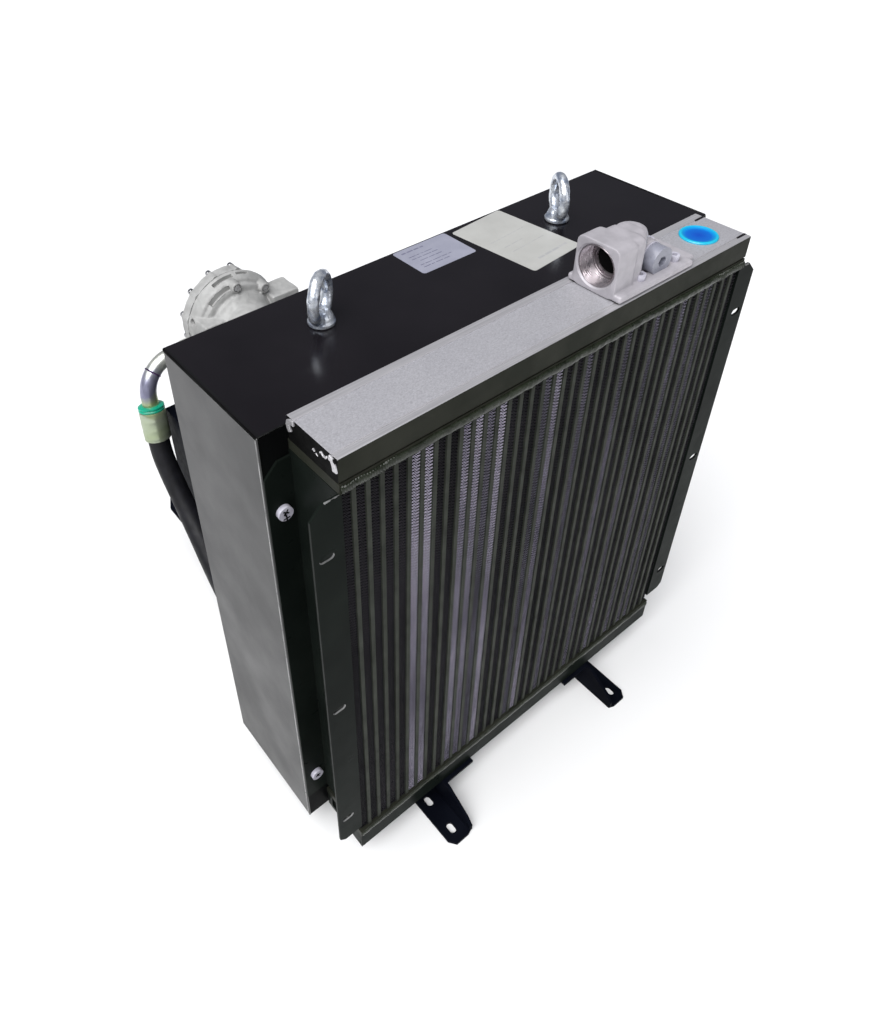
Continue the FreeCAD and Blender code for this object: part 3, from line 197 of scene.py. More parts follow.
def fused(piece, voxel, rounds):
    """Melt a piece's overlapping solids into one skin with soft edges."""
    remesh = piece.modifiers.new("remesh", "REMESH")
    remesh.mode = "VOXEL"
    remesh.voxel_size = voxel
    smooth = piece.modifiers.new("smooth", "SMOOTH")
    smooth.iterations = rounds
    baked(piece)


def carved(piece, cutter):
    """Cut a closed mesh out of a piece."""
    tool = bpy.data.objects.new("cutter", cutter)
    bpy.context.scene.collection.objects.link(tool)
    cut = piece.modifiers.new("cut", "BOOLEAN")
    cut.operation = "DIFFERENCE"
    cut.object = tool
    cut.solver = "EXACT"
    baked(piece)
    bpy.data.objects.remove(tool)


def roughened(piece, height):
    """Move each point along its normal by a height in millimetres that depends on its place."""
    ways = [vertex.normal.copy() for vertex in piece.data.vertices]
    for vertex, way in zip(piece.data.vertices, ways):
        vertex.co = vertex.co + way * height(vertex.co) * MM


# ---- materials

class Finish:
    """A material under construction, with short ways to add nodes to it."""

    def __init__(self, name, metallic=0.0, roughness=0.5, ior=1.5, gloss=0.5):
        self.material = bpy.data.materials.new(name)
        self.material.use_nodes = True
        self.tree = self.material.node_tree
        self.shader = self.tree.nodes["Principled BSDF"]
        self.shader.inputs["Metallic"].default_value = metallic
        self.shader.inputs["Roughness"].default_value = roughness
        self.shader.inputs["IOR"].default_value = ior
        self.shader.inputs["Specular IOR Level"].default_value = gloss
        self.place = self.add("ShaderNodeTexCoord").outputs["Object"]
        self.relief = None

    def add(self, kind, **values):
        node = self.tree.nodes.new(kind)
        for key, value in values.items():
            setattr(node, key, value)
        return node

    def link(self, source, target):
        self.tree.links.new(source, target)

    def stretched(self, x, y, z):
        mapping = self.add("ShaderNodeMapping")
        mapping.inputs["Scale"].default_value = (x, y, z)
        self.link(self.place, mapping.inputs["Vector"])
        return mapping.outputs["Vector"]

    def noise(self, scale, detail=3.0, vector=None, distortion=0.0):
        node = self.add("ShaderNodeTexNoise")
        node.inputs["Scale"].default_value = scale
        node.inputs["Detail"].default_value = detail
        node.inputs["Distortion"].default_value = distortion
        self.link(vector or self.place, node.inputs["Vector"])
        return node.outputs["Fac"]

    def ramp(self, source, *stops):
        """Colours by position; each stop is (position, (r, g, b))."""
        node = self.add("ShaderNodeValToRGB")
        elements = node.color_ramp.elements
        while len(elements) < len(stops):
            elements.new(0.5)
        for element, (position, colour) in zip(elements, stops):
            element.position = position
            element.color = (*colour, 1)
        self.link(source, node.inputs["Fac"])
        return node.outputs["Color"]

    def multiplied(self, share, first, second):
        """One colour multiplied by a share of another."""
        node = self.add("ShaderNodeMix", data_type="RGBA", blend_type="MULTIPLY")
        sockets = {socket.name: socket for socket in node.inputs if socket.enabled}
        sockets["Factor"].default_value = share
        self.link(first, sockets["A"])
        self.link(second, sockets["B"])
        return next(socket for socket in node.outputs if socket.enabled)

    def spread(self, source, low, high, start=0.3, end=0.7):
        """Map a noise onto a range of values."""
        node = self.add("ShaderNodeMapRange")
        for key, value in (("From Min", start), ("From Max", end), ("To Min", low), ("To Max", high)):
            node.inputs[key].default_value = value
        self.link(source, node.inputs["Value"])
        return node.outputs["Result"]

    def colour(self, source):
        self.link(source, self.shader.inputs["Base Color"])
        return self

    def rough(self, source, low, high):
        self.link(self.spread(source, low, high), self.shader.inputs["Roughness"])
        return self

    def bump(self, source, distance, strength=1.0):
        node = self.add("ShaderNodeBump")
        node.inputs["Strength"].default_value = strength
        node.inputs["Distance"].default_value = distance
        self.link(source, node.inputs["Height"])
        if self.relief:
            self.link(self.relief, node.inputs["Normal"])
        self.relief = node.outputs["Normal"]
        self.link(self.relief, self.shader.inputs["Normal"])
        return self


def painted(name, dark, light, rough, grain=0.00003, cloud=9, ior=1.3, gloss=0.5):
    """Powder coat: a faint cloud of two tones, orange peel, and slightly uneven gloss."""
    finish = Finish(name, roughness=rough, ior=ior, gloss=gloss)
    clouds = finish.noise(cloud, 5)
    finish.colour(finish.ramp(clouds, (0.35, dark), (0.7, light)))
    finish.rough(finish.noise(cloud * 5, 6), rough * 0.85, rough * 1.2)
    finish.bump(finish.noise(900, 2), grain)
    return finish.material


def cast(name, dark, light, rough, grain, metallic):
    """Sand-cast metal: mottled tone, fine grain and soft lumps."""
    finish = Finish(name, metallic=metallic, roughness=rough)
    mottle = finish.noise(70, 8)
    finish.colour(finish.ramp(mottle, (0.32, dark), (0.62, light)))
    finish.rough(finish.noise(160, 5), rough * 0.8, rough * 1.15)
    finish.bump(finish.noise(120, 4), grain * 2.2)
    finish.bump(finish.noise(1400, 4), grain * 0.35)
    return finish.material


def plated(name, dark, light, rough, lumps, scale, metallic=1.0):
    """Zinc plate over a forged or turned surface."""
    finish = Finish(name, metallic=metallic, roughness=rough)
    patches = finish.noise(scale, 6, distortion=0.6)
    finish.colour(finish.ramp(patches, (0.3, dark), (0.55, light), (0.75, dark)))
    finish.rough(finish.noise(scale * 3, 4), rough * 0.6, rough * 1.5)
    finish.bump(finish.noise(scale * 1.6, 3), lumps)
    return finish.material


def bare_aluminium():
    """Extruded tank metal: fine random scratches and a short-fibred speckle."""
    finish = Finish("bare_aluminium", metallic=0.35, roughness=0.5)
    speckle = finish.noise(900, 3, finish.stretched(0.6, 1.0, 1.0), distortion=0.8)
    tone = finish.ramp(speckle, (0.30, (0.33, 0.325, 0.345)), (0.52, (0.41, 0.405, 0.43)),
                       (0.74, (0.485, 0.48, 0.51)))
    sheen = finish.ramp(finish.noise(9, 3), (0.35, (0.93, 0.93, 0.94)), (0.7, (1.0, 1.0, 1.0)))
    finish.colour(finish.multiplied(1.0, tone, sheen))
    finish.rough(finish.noise(700, 3), 0.42, 0.58)
    finish.bump(speckle, 0.00003)
    return finish.material


def drawn_aluminium():
    """Smooth drawn edge strips of the tank, with fine lines along X."""
    finish = Finish("drawn_aluminium", metallic=0.55, roughness=0.36)
    lines = finish.noise(900, 3, finish.stretched(0.01, 1.0, 1.0))
    finish.colour(finish.ramp(lines, (0.3, (0.44, 0.43, 0.45)), (0.7, (0.58, 0.57, 0.59))))
    finish.rough(finish.noise(40, 3), 0.3, 0.42)
    finish.bump(lines, 0.00003)
    return finish.material


def zinc_tints_and_painted_sheen():
    """Yellow passivated zinc: straw and green low down and lavender above; the silver at the top is a painted
    sheen.
    """
    finish = Finish("yellow_zinc", metallic=0.75, roughness=0.34)
    parts = finish.add("ShaderNodeSeparateXYZ")
    finish.link(finish.place, parts.inputs["Vector"])
    height = finish.spread(parts.outputs["Z"], 0.0, 1.0, 0.22, 0.345)
    drift = finish.spread(finish.noise(30, 2, distortion=0.4), -0.10, 0.10, 0.25, 0.75)
    total = finish.add("ShaderNodeMath", operation="ADD")
    finish.link(height, total.inputs[0])
    finish.link(drift, total.inputs[1])
    finish.colour(finish.ramp(total.outputs["Value"], (0.0, (0.33, 0.36, 0.30)), (0.18, (0.36, 0.42, 0.27)),
                              (0.40, (0.42, 0.47, 0.36)), (0.56, (0.40, 0.46, 0.22)),
                              (0.68, (0.24, 0.24, 0.34)), (0.82, (0.34, 0.34, 0.46)),
                              (0.92, (0.50, 0.52, 0.50)), (1.0, (0.60, 0.61, 0.56))))
    finish.rough(finish.noise(120, 4), 0.28, 0.40)
    finish.bump(finish.noise(300, 3), 0.00001)
    return finish.material


def fin_material(name, dark, light):
    """Edges of the air fins: paint of uneven thickness over thin aluminium."""
    finish = Finish(name, metallic=0.1, roughness=0.45, ior=1.3, gloss=0.2)
    patches = finish.noise(16, 5, finish.stretched(1.0, 1.0, 0.3))
    fine = finish.noise(260, 3)
    tone = finish.ramp(patches, (0.35, dark), (0.66, light))
    worn = finish.ramp(fine, (0.3, (0.5, 0.5, 0.52)), (0.7, (1.35, 1.32, 1.4)))
    finish.colour(finish.multiplied(0.7, tone, worn))
    finish.rough(fine, 0.35, 0.6)
    return finish.material


def rubber():
    """Hose cover with a faint wrapped-cloth weave."""
    finish = Finish("hose_rubber", roughness=0.5, gloss=0.25)
    finish.colour(finish.ramp(finish.noise(60, 4), (0.3, (0.003, 0.003, 0.004)), (0.7, (0.008, 0.008, 0.011))))
    weave = finish.add("ShaderNodeTexWave", wave_type="BANDS", bands_direction="DIAGONAL")
    weave.inputs["Scale"].default_value = 330
    weave.inputs["Distortion"].default_value = 1.5
    finish.link(finish.place, weave.inputs["Vector"])
    finish.rough(finish.noise(90, 4), 0.42, 0.62)
    finish.bump(weave.outputs["Fac"], 0.00008)
    finish.bump(finish.noise(500, 3), 0.00006)
    return finish.material


def plain_plastic(name, dark, light, rough):
    finish = Finish(name, roughness=rough)
    finish.colour(finish.ramp(finish.noise(55, 4), (0.3, dark), (0.7, light)))
    finish.rough(finish.noise(220, 3), rough * 0.8, rough * 1.25)
    finish.bump(finish.noise(700, 2), 0.00002)
    return finish.material


def cap_plastic(centre, radius):
    """Blue cap: deep blue in the dish, turning cyan at the rim."""
    finish = Finish("cap_plastic", roughness=0.3)
    offset = finish.add("ShaderNodeVectorMath", operation="SUBTRACT")
    offset.inputs[1].default_value = centre
    finish.link(finish.place, offset.inputs[0])
    length = finish.add("ShaderNodeVectorMath", operation="LENGTH")
    finish.link(offset.outputs["Vector"], length.inputs[0])
    share = finish.spread(length.outputs["Value"], 0.0, 1.0, 0.0, radius)
    finish.colour(finish.ramp(share, (0.0, (0.0, 0.055, 0.40)), (0.62, (0.0, 0.11, 0.48)),
                              (0.80, (0.0, 0.24, 0.56)), (0.90, (0.01, 0.40, 0.58))))
    finish.bump(finish.noise(500, 2), 0.00002)
    return finish.material


def label_film(name, dark, light):
    finish = Finish(name, roughness=0.38)
    finish.colour(finish.ramp(finish.noise(45, 5), (0.3, dark), (0.7, light)))
    finish.rough(finish.noise(120, 3), 0.3, 0.45)
    finish.bump(finish.noise(160, 3), 0.00004)
    return finish.material


# Dark tone, light tone, roughness, grain height, cloud scale, index of refraction and gloss of each paint.
PAINTS = {
    "black_sheet": ((0.0050, 0.0040, 0.0052), (0.0075, 0.0062, 0.0078), 0.18, 0.00003, 9, 1.5),
    # The housing's sides: a lighter copy of the black paint, a painted reflection of the bright floor.
    "housing_side_painted_reflection": ((0.037, 0.037, 0.037), (0.043, 0.043, 0.044), 0.42, 0.00003, 3, 1.32),
    # The housing's front, rear and lower faces: a darker, dull copy of the black paint, painted shade.
    "housing_front_painted_shade": ((0.0030, 0.0032, 0.0034), (0.0055, 0.0062, 0.0060), 0.34, 0.00003, 9, 1.3, 0.03),
    "painted_core": ((0.015, 0.0165, 0.012), (0.025, 0.026, 0.020), 0.36, 0.00006, 26, 1.3, 0.07),
    # The side plates' darker paint; on the bottom tank it stands for painted shade.
    "side_plate": ((0.0050, 0.0068, 0.0058), (0.0095, 0.0125, 0.0105), 0.32, 0.00003, 12, 1.35, 0.03),
    "tube_paint": ((0.022, 0.025, 0.020), (0.042, 0.046, 0.038), 0.45, 0.00006, 40, 1.3, 0.10),
    "bead_paint": ((0.0085, 0.011, 0.0065), (0.020, 0.025, 0.015), 0.25, 0.00012, 60, 1.5, 0.3),
    # A dull near-black: black paint on the tank's end caps, and painted shade in holes, gaps, grooves and
    # slots.
    "black_paint_and_painted_shade": ((0.003, 0.003, 0.003), (0.007, 0.007, 0.007), 0.6, 0.00006, 30, 1.1),
    "fold_edge": ((0.003, 0.003, 0.003), (0.006, 0.006, 0.006), 0.14, 0.00002, 12, 1.5),
    # A light grey: painted highlights on the housing's folds and the flanges' top edges, and bare metal with a
    # highlight on the left slot walls.
    "bare_metal_and_painted_highlight": ((0.10, 0.10, 0.10), (0.42, 0.42, 0.42), 0.3, 0.00002, 35, 1.5),
    "rail_paint": ((0.0025, 0.0030, 0.0055), (0.0050, 0.0060, 0.0100), 0.36, 0.00004, 20, 1.4, 0.012),
    "screw_zinc": ((0.36, 0.35, 0.41), (0.52, 0.51, 0.58), 0.32, 0.00003, 150, 1.6),
    "plug_zinc": ((0.20, 0.205, 0.25), (0.29, 0.295, 0.35), 0.30, 0.00003, 90, 1.6),
    # The fin sheets' faces: a near-black, dull copy of the fin paint, painted shade between the folds.
    "fin_faces_painted_shade": ((0.003, 0.003, 0.004), (0.007, 0.007, 0.008), 0.6, 0.00003, 9, 1.3, 0.03),
    "motor_paint": ((0.010, 0.012, 0.014), (0.022, 0.024, 0.027), 0.42, 0.00012, 30),
    "black_wire": ((0.007, 0.007, 0.008), (0.014, 0.014, 0.015), 0.35, 0.00002, 50),
}

# Dark tone, light tone and roughness of each plastic and printed ink.
PLASTICS = {
    "black_plastic": ((0.008, 0.008, 0.009), (0.018, 0.018, 0.019), 0.42),
    "rubber": ((0.010, 0.010, 0.010), (0.022, 0.022, 0.022), 0.62),
    "green_ring": ((0.0, 0.22, 0.13), (0.01, 0.36, 0.23), 0.32),
    "print_ink": ((0.08, 0.08, 0.13), (0.16, 0.16, 0.22), 0.5),
    "faint_ink": ((0.30, 0.30, 0.31), (0.38, 0.38, 0.38), 0.5),
}

MATERIALS = {
    **{name: painted(name, *values) for name, values in PAINTS.items()},
    **{name: plain_plastic(name, *values) for name, values in PLASTICS.items()},
    "bare_aluminium": bare_aluminium(),
    "drawn_aluminium": drawn_aluminium(),
    "cast_aluminium": cast("cast_aluminium", (0.30, 0.30, 0.295), (0.37, 0.37, 0.365), 0.62, 0.00012, 0.1),
    "block_aluminium": cast("block_aluminium", (0.365, 0.35, 0.375), (0.44, 0.42, 0.45), 0.5, 0.00005, 0.25),
    "machined": plated("machined", (0.33, 0.285, 0.30), (0.43, 0.385, 0.41), 0.3, 0.00002, 60, 0.8),
    "zinc": plated("zinc", (0.24, 0.30, 0.43), (0.78, 0.81, 0.85), 0.28, 0.00022, 62, 0.75),
    "steel": plated("steel", (0.32, 0.32, 0.33), (0.55, 0.55, 0.56), 0.32, 0.00004, 80),
    "copper": plated("copper", (0.40, 0.17, 0.07), (0.62, 0.30, 0.14), 0.38, 0.0003, 300),
    "yellow_zinc": zinc_tints_and_painted_sheen(),
    "seam_tint": plated("seam_tint", (0.05, 0.03, 0.09), (0.12, 0.07, 0.16), 0.35, 0.00002, 200),
    "fin_dark": fin_material("fin_dark", (0.012, 0.011, 0.013), (0.050, 0.046, 0.054)),
    # Lighter fin edges for some columns: a painted reflection of the sky.
    "fin_edge_faint_painted_reflection": fin_material("fin_edge_faint_painted_reflection", (0.11, 0.105, 0.13), (0.36, 0.34, 0.42)),
    "fin_edge_strong_painted_reflection": fin_material("fin_edge_strong_painted_reflection", (0.30, 0.28, 0.36), (0.85, 0.80, 0.95)),
    "hose_rubber": rubber(),
    "rating_film": label_film("rating_film", (0.235, 0.24, 0.30), (0.285, 0.29, 0.355)),
    "info_film": label_film("info_film", (0.365, 0.365, 0.35), (0.41, 0.41, 0.395)),
}

# Which finish each CAD node that is still shown gets, where it differs from its slot's name.
NODE_FINISH = {
    "oil_tubes": "tube_paint", "core_screws": "screw_zinc", "screw_plug": "plug_zinc",
    "plug_washer": "screw_zinc", "block_screws": "screw_zinc", "pump_screws": "steel",
    # The bottom tank takes the darker side-plate paint as painted shade.
    # The tank end caps take the dull near-black: their black paint with painted shade.
    "header_end_caps": "black_paint_and_painted_shade", "header_bottom": "side_plate", "motor_pedestal": "rail_paint",
    "foot_rail_left": "rail_paint", "foot_rail_right": "rail_paint", "side_plate_left": "side_plate",
    "side_plate_right": "side_plate",
}

# Rounded edges of the turned and moulded pieces, in millimetres.
EDGE_ROUNDING = {
    "terminal_box": 1.2, "terminal_lid": 1.8, "motor_front_shield": 2.0, "motor_rear_shield": 2.0,
    "fan_hub": 2.0, "core_screws": 0.9, "block_screws": 0.7, "screw_plug": 0.8, "rail_bolts": 0.5,
    "motor_bolts": 0.5, "elbow_nut": 0.6, "pump_screws": 0.5, "lower_ferrule": 0.8,
}


def paint_cad_nodes():
    slots = {part["node"]: part["material_slot"] for part in frame["record"]["subparts"]}
    for name, piece in nodes.items():
        kind = NODE_FINISH.get(name, slots[name])
        piece.data.materials.clear()
        piece.data.materials.append(MATERIALS.get(kind, MATERIALS["steel"]))
        if name in EDGE_ROUNDING:
            weld = piece.modifiers.new("weld", "WELD")
            weld.merge_threshold = 0.00001
            bevelled(piece, EDGE_ROUNDING[name] * MM, 2, 35)
    housing = nodes["fan_housing"].data
    housing.materials.append(MATERIALS["housing_side_painted_reflection"])
    housing.materials.append(MATERIALS["housing_front_painted_shade"])
    for face in housing.polygons:
        # Sideways faces get the lighter copy of the paint: a painted reflection.
        if abs(face.normal.x) > 0.9:
            face.material_index = 1
        # Front, rear and lower faces get the darker, dull copy: painted shade.
        elif face.normal.z < 0.9:
            face.material_index = 2


def make_folds():
    """The housing's folded edges stand a little proud, with painted highlights beside them and dark rods of
    painted shade under the roof's left edge.
    """
    low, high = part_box("fan_housing")
    inset = 0.5 * MM
    left, right, front, top = low.x + inset, high.x - inset, low.y + inset, high.z - inset

    def along(x, z, start=low.y, end=high.y):
        return (x, start, z), (x, end, z)

    def upright(x, y, end=top):
        return (x, y, low.z), (x, y, end)

    def across(z, start, end):
        return (start, front, z), (end, front, z)

    side = low.x + 0.1 * MM
    runs = {
        "left_top": (along(left + 1.5 * MM, top), 1.0, "fold_edge"),
        # Dark dull rods just under the roof's left edge: painted shade along the fold and its seam.
        "shade_under_left_edge": (along(side, top - 1.9 * MM), 1.0, "black_paint_and_painted_shade"),
        "shade_in_left_seam": (along(side, top - 0.4 * MM), 1.0, "black_paint_and_painted_shade"),
        "right_top": (along(right, top), 1.3, "fold_edge"),
        "left_front": (upright(left, front), 1.3, "fold_edge"),
        # Light rods beside the left folds: painted highlights.
        "left_highlight": (upright(side, front + 2.1 * MM, top - 3 * MM), 0.65, "bare_metal_and_painted_highlight"),
        "top_highlight": (along(side, top - 3.6 * MM, front + 3 * MM, high.y - 60 * MM), 0.3, "bare_metal_and_painted_highlight"),
        "right_front": (upright(right, front), 1.3, "fold_edge"),
        "front_top": (across(top, left, right), 1.1, "fold_edge"),
        # A light rod along the front fold near the left corner: a painted highlight.
        "front_highlight": (across(top + 0.8 * MM, left + 3 * MM, left + 26 * MM), 0.25, "bare_metal_and_painted_highlight"),
    }
    for name, ((start, end), radius, paint) in runs.items():
        way = Vector(end) - Vector(start)
        length = way.length / MM
        profile = [(0.2, radius * 0.5), (0.7, radius), (length - 0.7, radius), (length - 0.2, radius * 0.5)]
        finished(lathe(f"fold_{name}", profile, start, way, 16), paint, "black_sheet")


FLANGE_REACH = 291 * MM
FLANGE_CUT = 12.5 * MM


def make_flange_edges():
    """A painted highlight, a light grey strip, along the sheared top edges of the side plates' front flanges.
    """
    low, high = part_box("side_plate_left")
    length = 19
    profile = [(0.3, 0.3), (1, 0.9), (length * 0.3, 0.7), (length * 0.4, 0.35), (length * 0.6, 0.65),
               (length * 0.75, 0.35), (length - 1, 0.6), (length - 0.3, 0.3)]
    for name, side in (("flange_highlight_left", -1), ("flange_highlight_right", 1)):
        start = (side * (FLANGE_REACH - FLANGE_CUT - 1 * MM), low.y + 0.5 * MM, high.z - 0.2 * MM)
        finished(lathe(name, profile, start, (-side, 0, 0), 16), "bare_metal_and_painted_highlight", "painted_core")


SLOT_RADIUS = 4 * MM
SLOT_STRAIGHT = 3.5 * MM       # from a slot's middle to the centre of its round end
SLOT_SIDE = 278 * MM
SLOT_MIDDLE = 311 * MM         # above the housing's bottom
SLOT_STEP = 218 * MM


def make_slot_walls():
    """The lower wall of each slot in the front flanges: light on the left, bare metal with a painted
    highlight, and dark on the right, painted shade.
    """
    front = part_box("side_plate_left")[0].y
    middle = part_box("fan_housing")[0].z + SLOT_MIDDLE
    # Left walls light, as bare metal with a painted highlight; right walls dark, as painted shade.
    for side, word, paint in ((-1, "left", "bare_metal_and_painted_highlight"), (1, "right", "black_paint_and_painted_shade")):
        for step in (-1, 0, 1):
            rings = []
            for i in range(25):
                turn = math.radians(180 + 7.5 * i)
                out = Vector((math.cos(turn), 0, math.sin(turn)))
                end = Vector((side * SLOT_SIDE + math.copysign(SLOT_STRAIGHT, out.x), front,
                              middle + step * SLOT_STEP))
                rings.append([end + out * (SLOT_RADIUS + deep * MM) + Vector((0, back * MM, 0))
                              for deep, back in ((-0.4, 0.2), (-0.4, 1.8), (0.2, 1.8), (0.2, 0.2))])
            name = f"slot_wall_{word}_{step + 1}"
            finished(linked(name, mesh_from(name, *skin(rings))), paint, "painted_core")


def make_screw_crosses():
    """The cross socket in each pan head that holds a side plate's rear flange, drawn as a dark flat cross:
    painted shade.
    """
    screws = nodes["core_screws"]
    heads = {}
    for vertex in screws.data.vertices:
        place = screws.matrix_world @ vertex.co
        heads.setdefault((place.x > 0, round(place.z / (60 * MM))), []).append(place)
    arm, half = 3.4 * MM, 0.75 * MM
    corners = [(arm, half), (half, half), (half, arm), (-half, arm), (-half, half), (-arm, half),
               (-arm, -half), (-half, -half), (-half, -arm), (half, -arm), (half, -half), (arm, -half)]
    for index, places in enumerate(heads.values()):
        middle = sum(places, Vector()) / len(places)
        face = min(place.y for place in places)
        spin = Matrix.Rotation(math.radians(20 + 37 * index), 2)
        rings = [[(middle.x + c.x, face + depth, middle.z + c.y) for c in (spin @ Vector(c) for c in corners)]
                 for depth in (-0.12 * MM, 0.6 * MM)]
        piece = linked(f"screw_cross_{index}", mesh_from("cross", *skin(rings)))
        finished(piece, "black_paint_and_painted_shade", "painted_core")


# ---- hose and its fittings

# The hose's route, in metres: the same points as the tube in the CAD model.
HOSE_ROUTE = [
    (-0.181, 0.290, 0.227), (-0.1834, 0.2834, 0.2018), (-0.183, 0.266, 0.168), (-0.182, 0.246, 0.136),
    (-0.183, 0.221, 0.109), (-0.186, 0.190, 0.087), (-0.192, 0.150, 0.071), (-0.199, 0.106, 0.063),
    (-0.206, 0.061, 0.061), (-0.210, 0.015, 0.060), (-0.210, -0.031, 0.060),
]
HOSE_RADIUS = 16.5 * MM
HOSE_TOP = Vector(HOSE_ROUTE[0])
HOSE_WAY = (HOSE_TOP - Vector(HOSE_ROUTE[1])).normalized()


def make_hose():
    data = bpy.data.curves.new("hose", "CURVE")
    data.dimensions = "3D"
    data.bevel_depth = 1.0
    data.bevel_resolution = 8
    data.resolution_u = 12
    line = data.splines.new("NURBS")
    line.points.add(len(HOSE_ROUTE) - 1)
    for point, place in zip(line.points, HOSE_ROUTE):
        point.co = (*place, 1)
        point.radius = HOSE_RADIUS
    line.order_u = 3
    line.use_endpoint_u = True
    hose = bpy.data.objects.new("hose", data)
    bpy.context.scene.collection.objects.link(hose)
    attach(hose, "frame")
    hose.data.materials.append(MATERIALS["hose_rubber"])
    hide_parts("pressure_hose")


# ---- core

TUBE_PITCH = 14.2 * MM
TUBE_THICKNESS = 4.4 * MM
FIN_COLUMNS = 37
FIN_PITCH = 3.7 * MM
FIN_SHEET = 0.6 * MM
# Columns whose fin edges take lighter tones: a painted reflection of the sky.
PAINTED_STRONG_REFLECTION_COLUMNS = (5, 6, 9, 10, 12, 17)
PAINTED_FAINT_REFLECTION_COLUMNS = (11, 16, 20, 24, 27, 30, 32, 33)


def fin_column(index, low, high):
    """One corrugated strip: folds run up the column, with rounded crests at the tubes."""
    rows = int((high.z - low.z) / (FIN_PITCH / 2))
    front, back = low.y, high.y
    points, faces = [], []
    wobble = random.uniform(-0.3, 0.3)
    for row in range(rows + 1):
        right = row % 2 == 0
        z = low.z + (high.z - low.z) * row / rows - (0.22 * FIN_PITCH if right else 0)
        z = max(z, low.z + 0.5 * MM)
        x = high.x - 0.15 * MM if right else low.x + 0.15 * MM
        bow = noise.noise((index * 3.1, row * 0.07, wobble)) * 0.35 * MM
        setback = (0.2 + 0.25 * noise.noise((index * 5.3, row * 0.11, 4.0))) * MM
        for lift in (-0.09, 0.09):
            for y in (front + setback, back):
                points.append((x, y, z + bow + lift * FIN_PITCH))
        if row:
            here, before = row * 4, (row - 1) * 4
            faces.append((before + 2, before + 3, here + 1, here))
        faces.append((row * 4, row * 4 + 1, row * 4 + 3, row * 4 + 2))
    mesh = mesh_from(f"fins_{index:02d}", points, faces)
    piece = linked(f"fins_{index:02d}", mesh)
    sheet = piece.modifiers.new("sheet", "SOLIDIFY")
    sheet.thickness = FIN_SHEET
    sheet.offset = 0
    sheet.material_offset_rim = 1
    kind = "fin_edge_strong_painted_reflection" if index in PAINTED_STRONG_REFLECTION_COLUMNS else "fin_edge_faint_painted_reflection" if index in PAINTED_FAINT_REFLECTION_COLUMNS else "fin_dark"
    # The fin sheets' faces take the near-black copy: painted shade between the folds.
    finished(piece, "fin_faces_painted_shade", "fin_aluminium", "air_fins")
    mesh.materials.append(MATERIALS[kind])


def make_fins():
    low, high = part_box("air_fins")
    half = (TUBE_PITCH - TUBE_THICKNESS) / 2
    for index in range(FIN_COLUMNS):
        x = (index - FIN_COLUMNS // 2) * TUBE_PITCH
        fin_column(index, Vector((x - half, low.y, low.z)), Vector((x + half, high.y, high.z)))


def weld_bead(name, left, right, line, radius, lump, rippled):
    """A bead along X on a line (Y, Z). Its radius and line wander; where rippled, its scales show."""
    steps = int((right - left) / (0.9 * MM))
    count = 20
    rings = []
    for step in range(steps + 1):
        x = left + (right - left) * (step / steps)
        y = line[0] + noise.noise((x * 60, 1.0, 0.0)) * lump * 0.5
        z = line[1] + noise.noise((x * 45, 5.0, 0.0)) * lump * 0.6
        scale = rippled(x)
        ripple = abs(math.sin(x / (2.6 * MM) * math.pi + 0.4 * math.sin(x * 90))) * scale
        ring = []
        for i in range(count):
            t = 2 * math.pi * i / count
            rough = noise.noise((x * 220, math.cos(t) * 1.5, math.sin(t) * 1.5)) * lump * 0.4
            r = radius + rough + (0.5 - ripple) * 1.5 * MM * min(scale, 1.0)
            ring.append((x, y + math.cos(t) * r * 0.62, z + math.sin(t) * r))
        rings.append(ring)
    mesh = mesh_from(name, *skin(rings))
    smooth_by_angle(mesh, 60)
    finished(linked(name, mesh), "bead_paint", "painted_core")


def make_welds():
    plate_low, plate_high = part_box("tube_plates")
    left, right = plate_low.x + 1 * MM, plate_high.x - 1 * MM

    def near_ends(x):
        distance = min(x - left, right - x)
        return max(0.0, min(1.0, (70 * MM - distance) / (25 * MM)))

    top = (plate_low.y - 0.2 * MM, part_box("header_top")[0].z - 6.0 * MM)
    bottom = (plate_low.y + 1.2 * MM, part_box("header_bottom")[1].z + 5.0 * MM)
    weld_bead("weld_top", left, right, top, 4.2 * MM, 1.6 * MM, near_ends)
    weld_bead("weld_bottom", left, right, bottom, 4.6 * MM, 1.1 * MM, near_ends)


# ---- top tank

def tank_outline(low, high):
    """Cross-section (Y, Z) of the top tank: chamfered foot, two shallow grooves, undercut rear edge."""
    front = [(0, 0.8), (0.8, 0), (6.0, 0), (6.3, 0.9), (7.6, 0.9), (7.9, 0)]
    rear = [(11.6, 0), (11.3, 0.9), (9.8, 0.9), (9.5, 0), (0.8, 0), (0, 0.8), (0, 3.5), (4, 5), (4, 7), (0, 9)]
    return ([(low.y + 2.0 * MM, low.z), (low.y, low.z + 2.2 * MM)]
            + [(low.y + back * MM, high.z - down * MM) for back, down in front]
            + [(high.y - ahead * MM, high.z - down * MM) for ahead, down in rear] + [(high.y, low.z)])


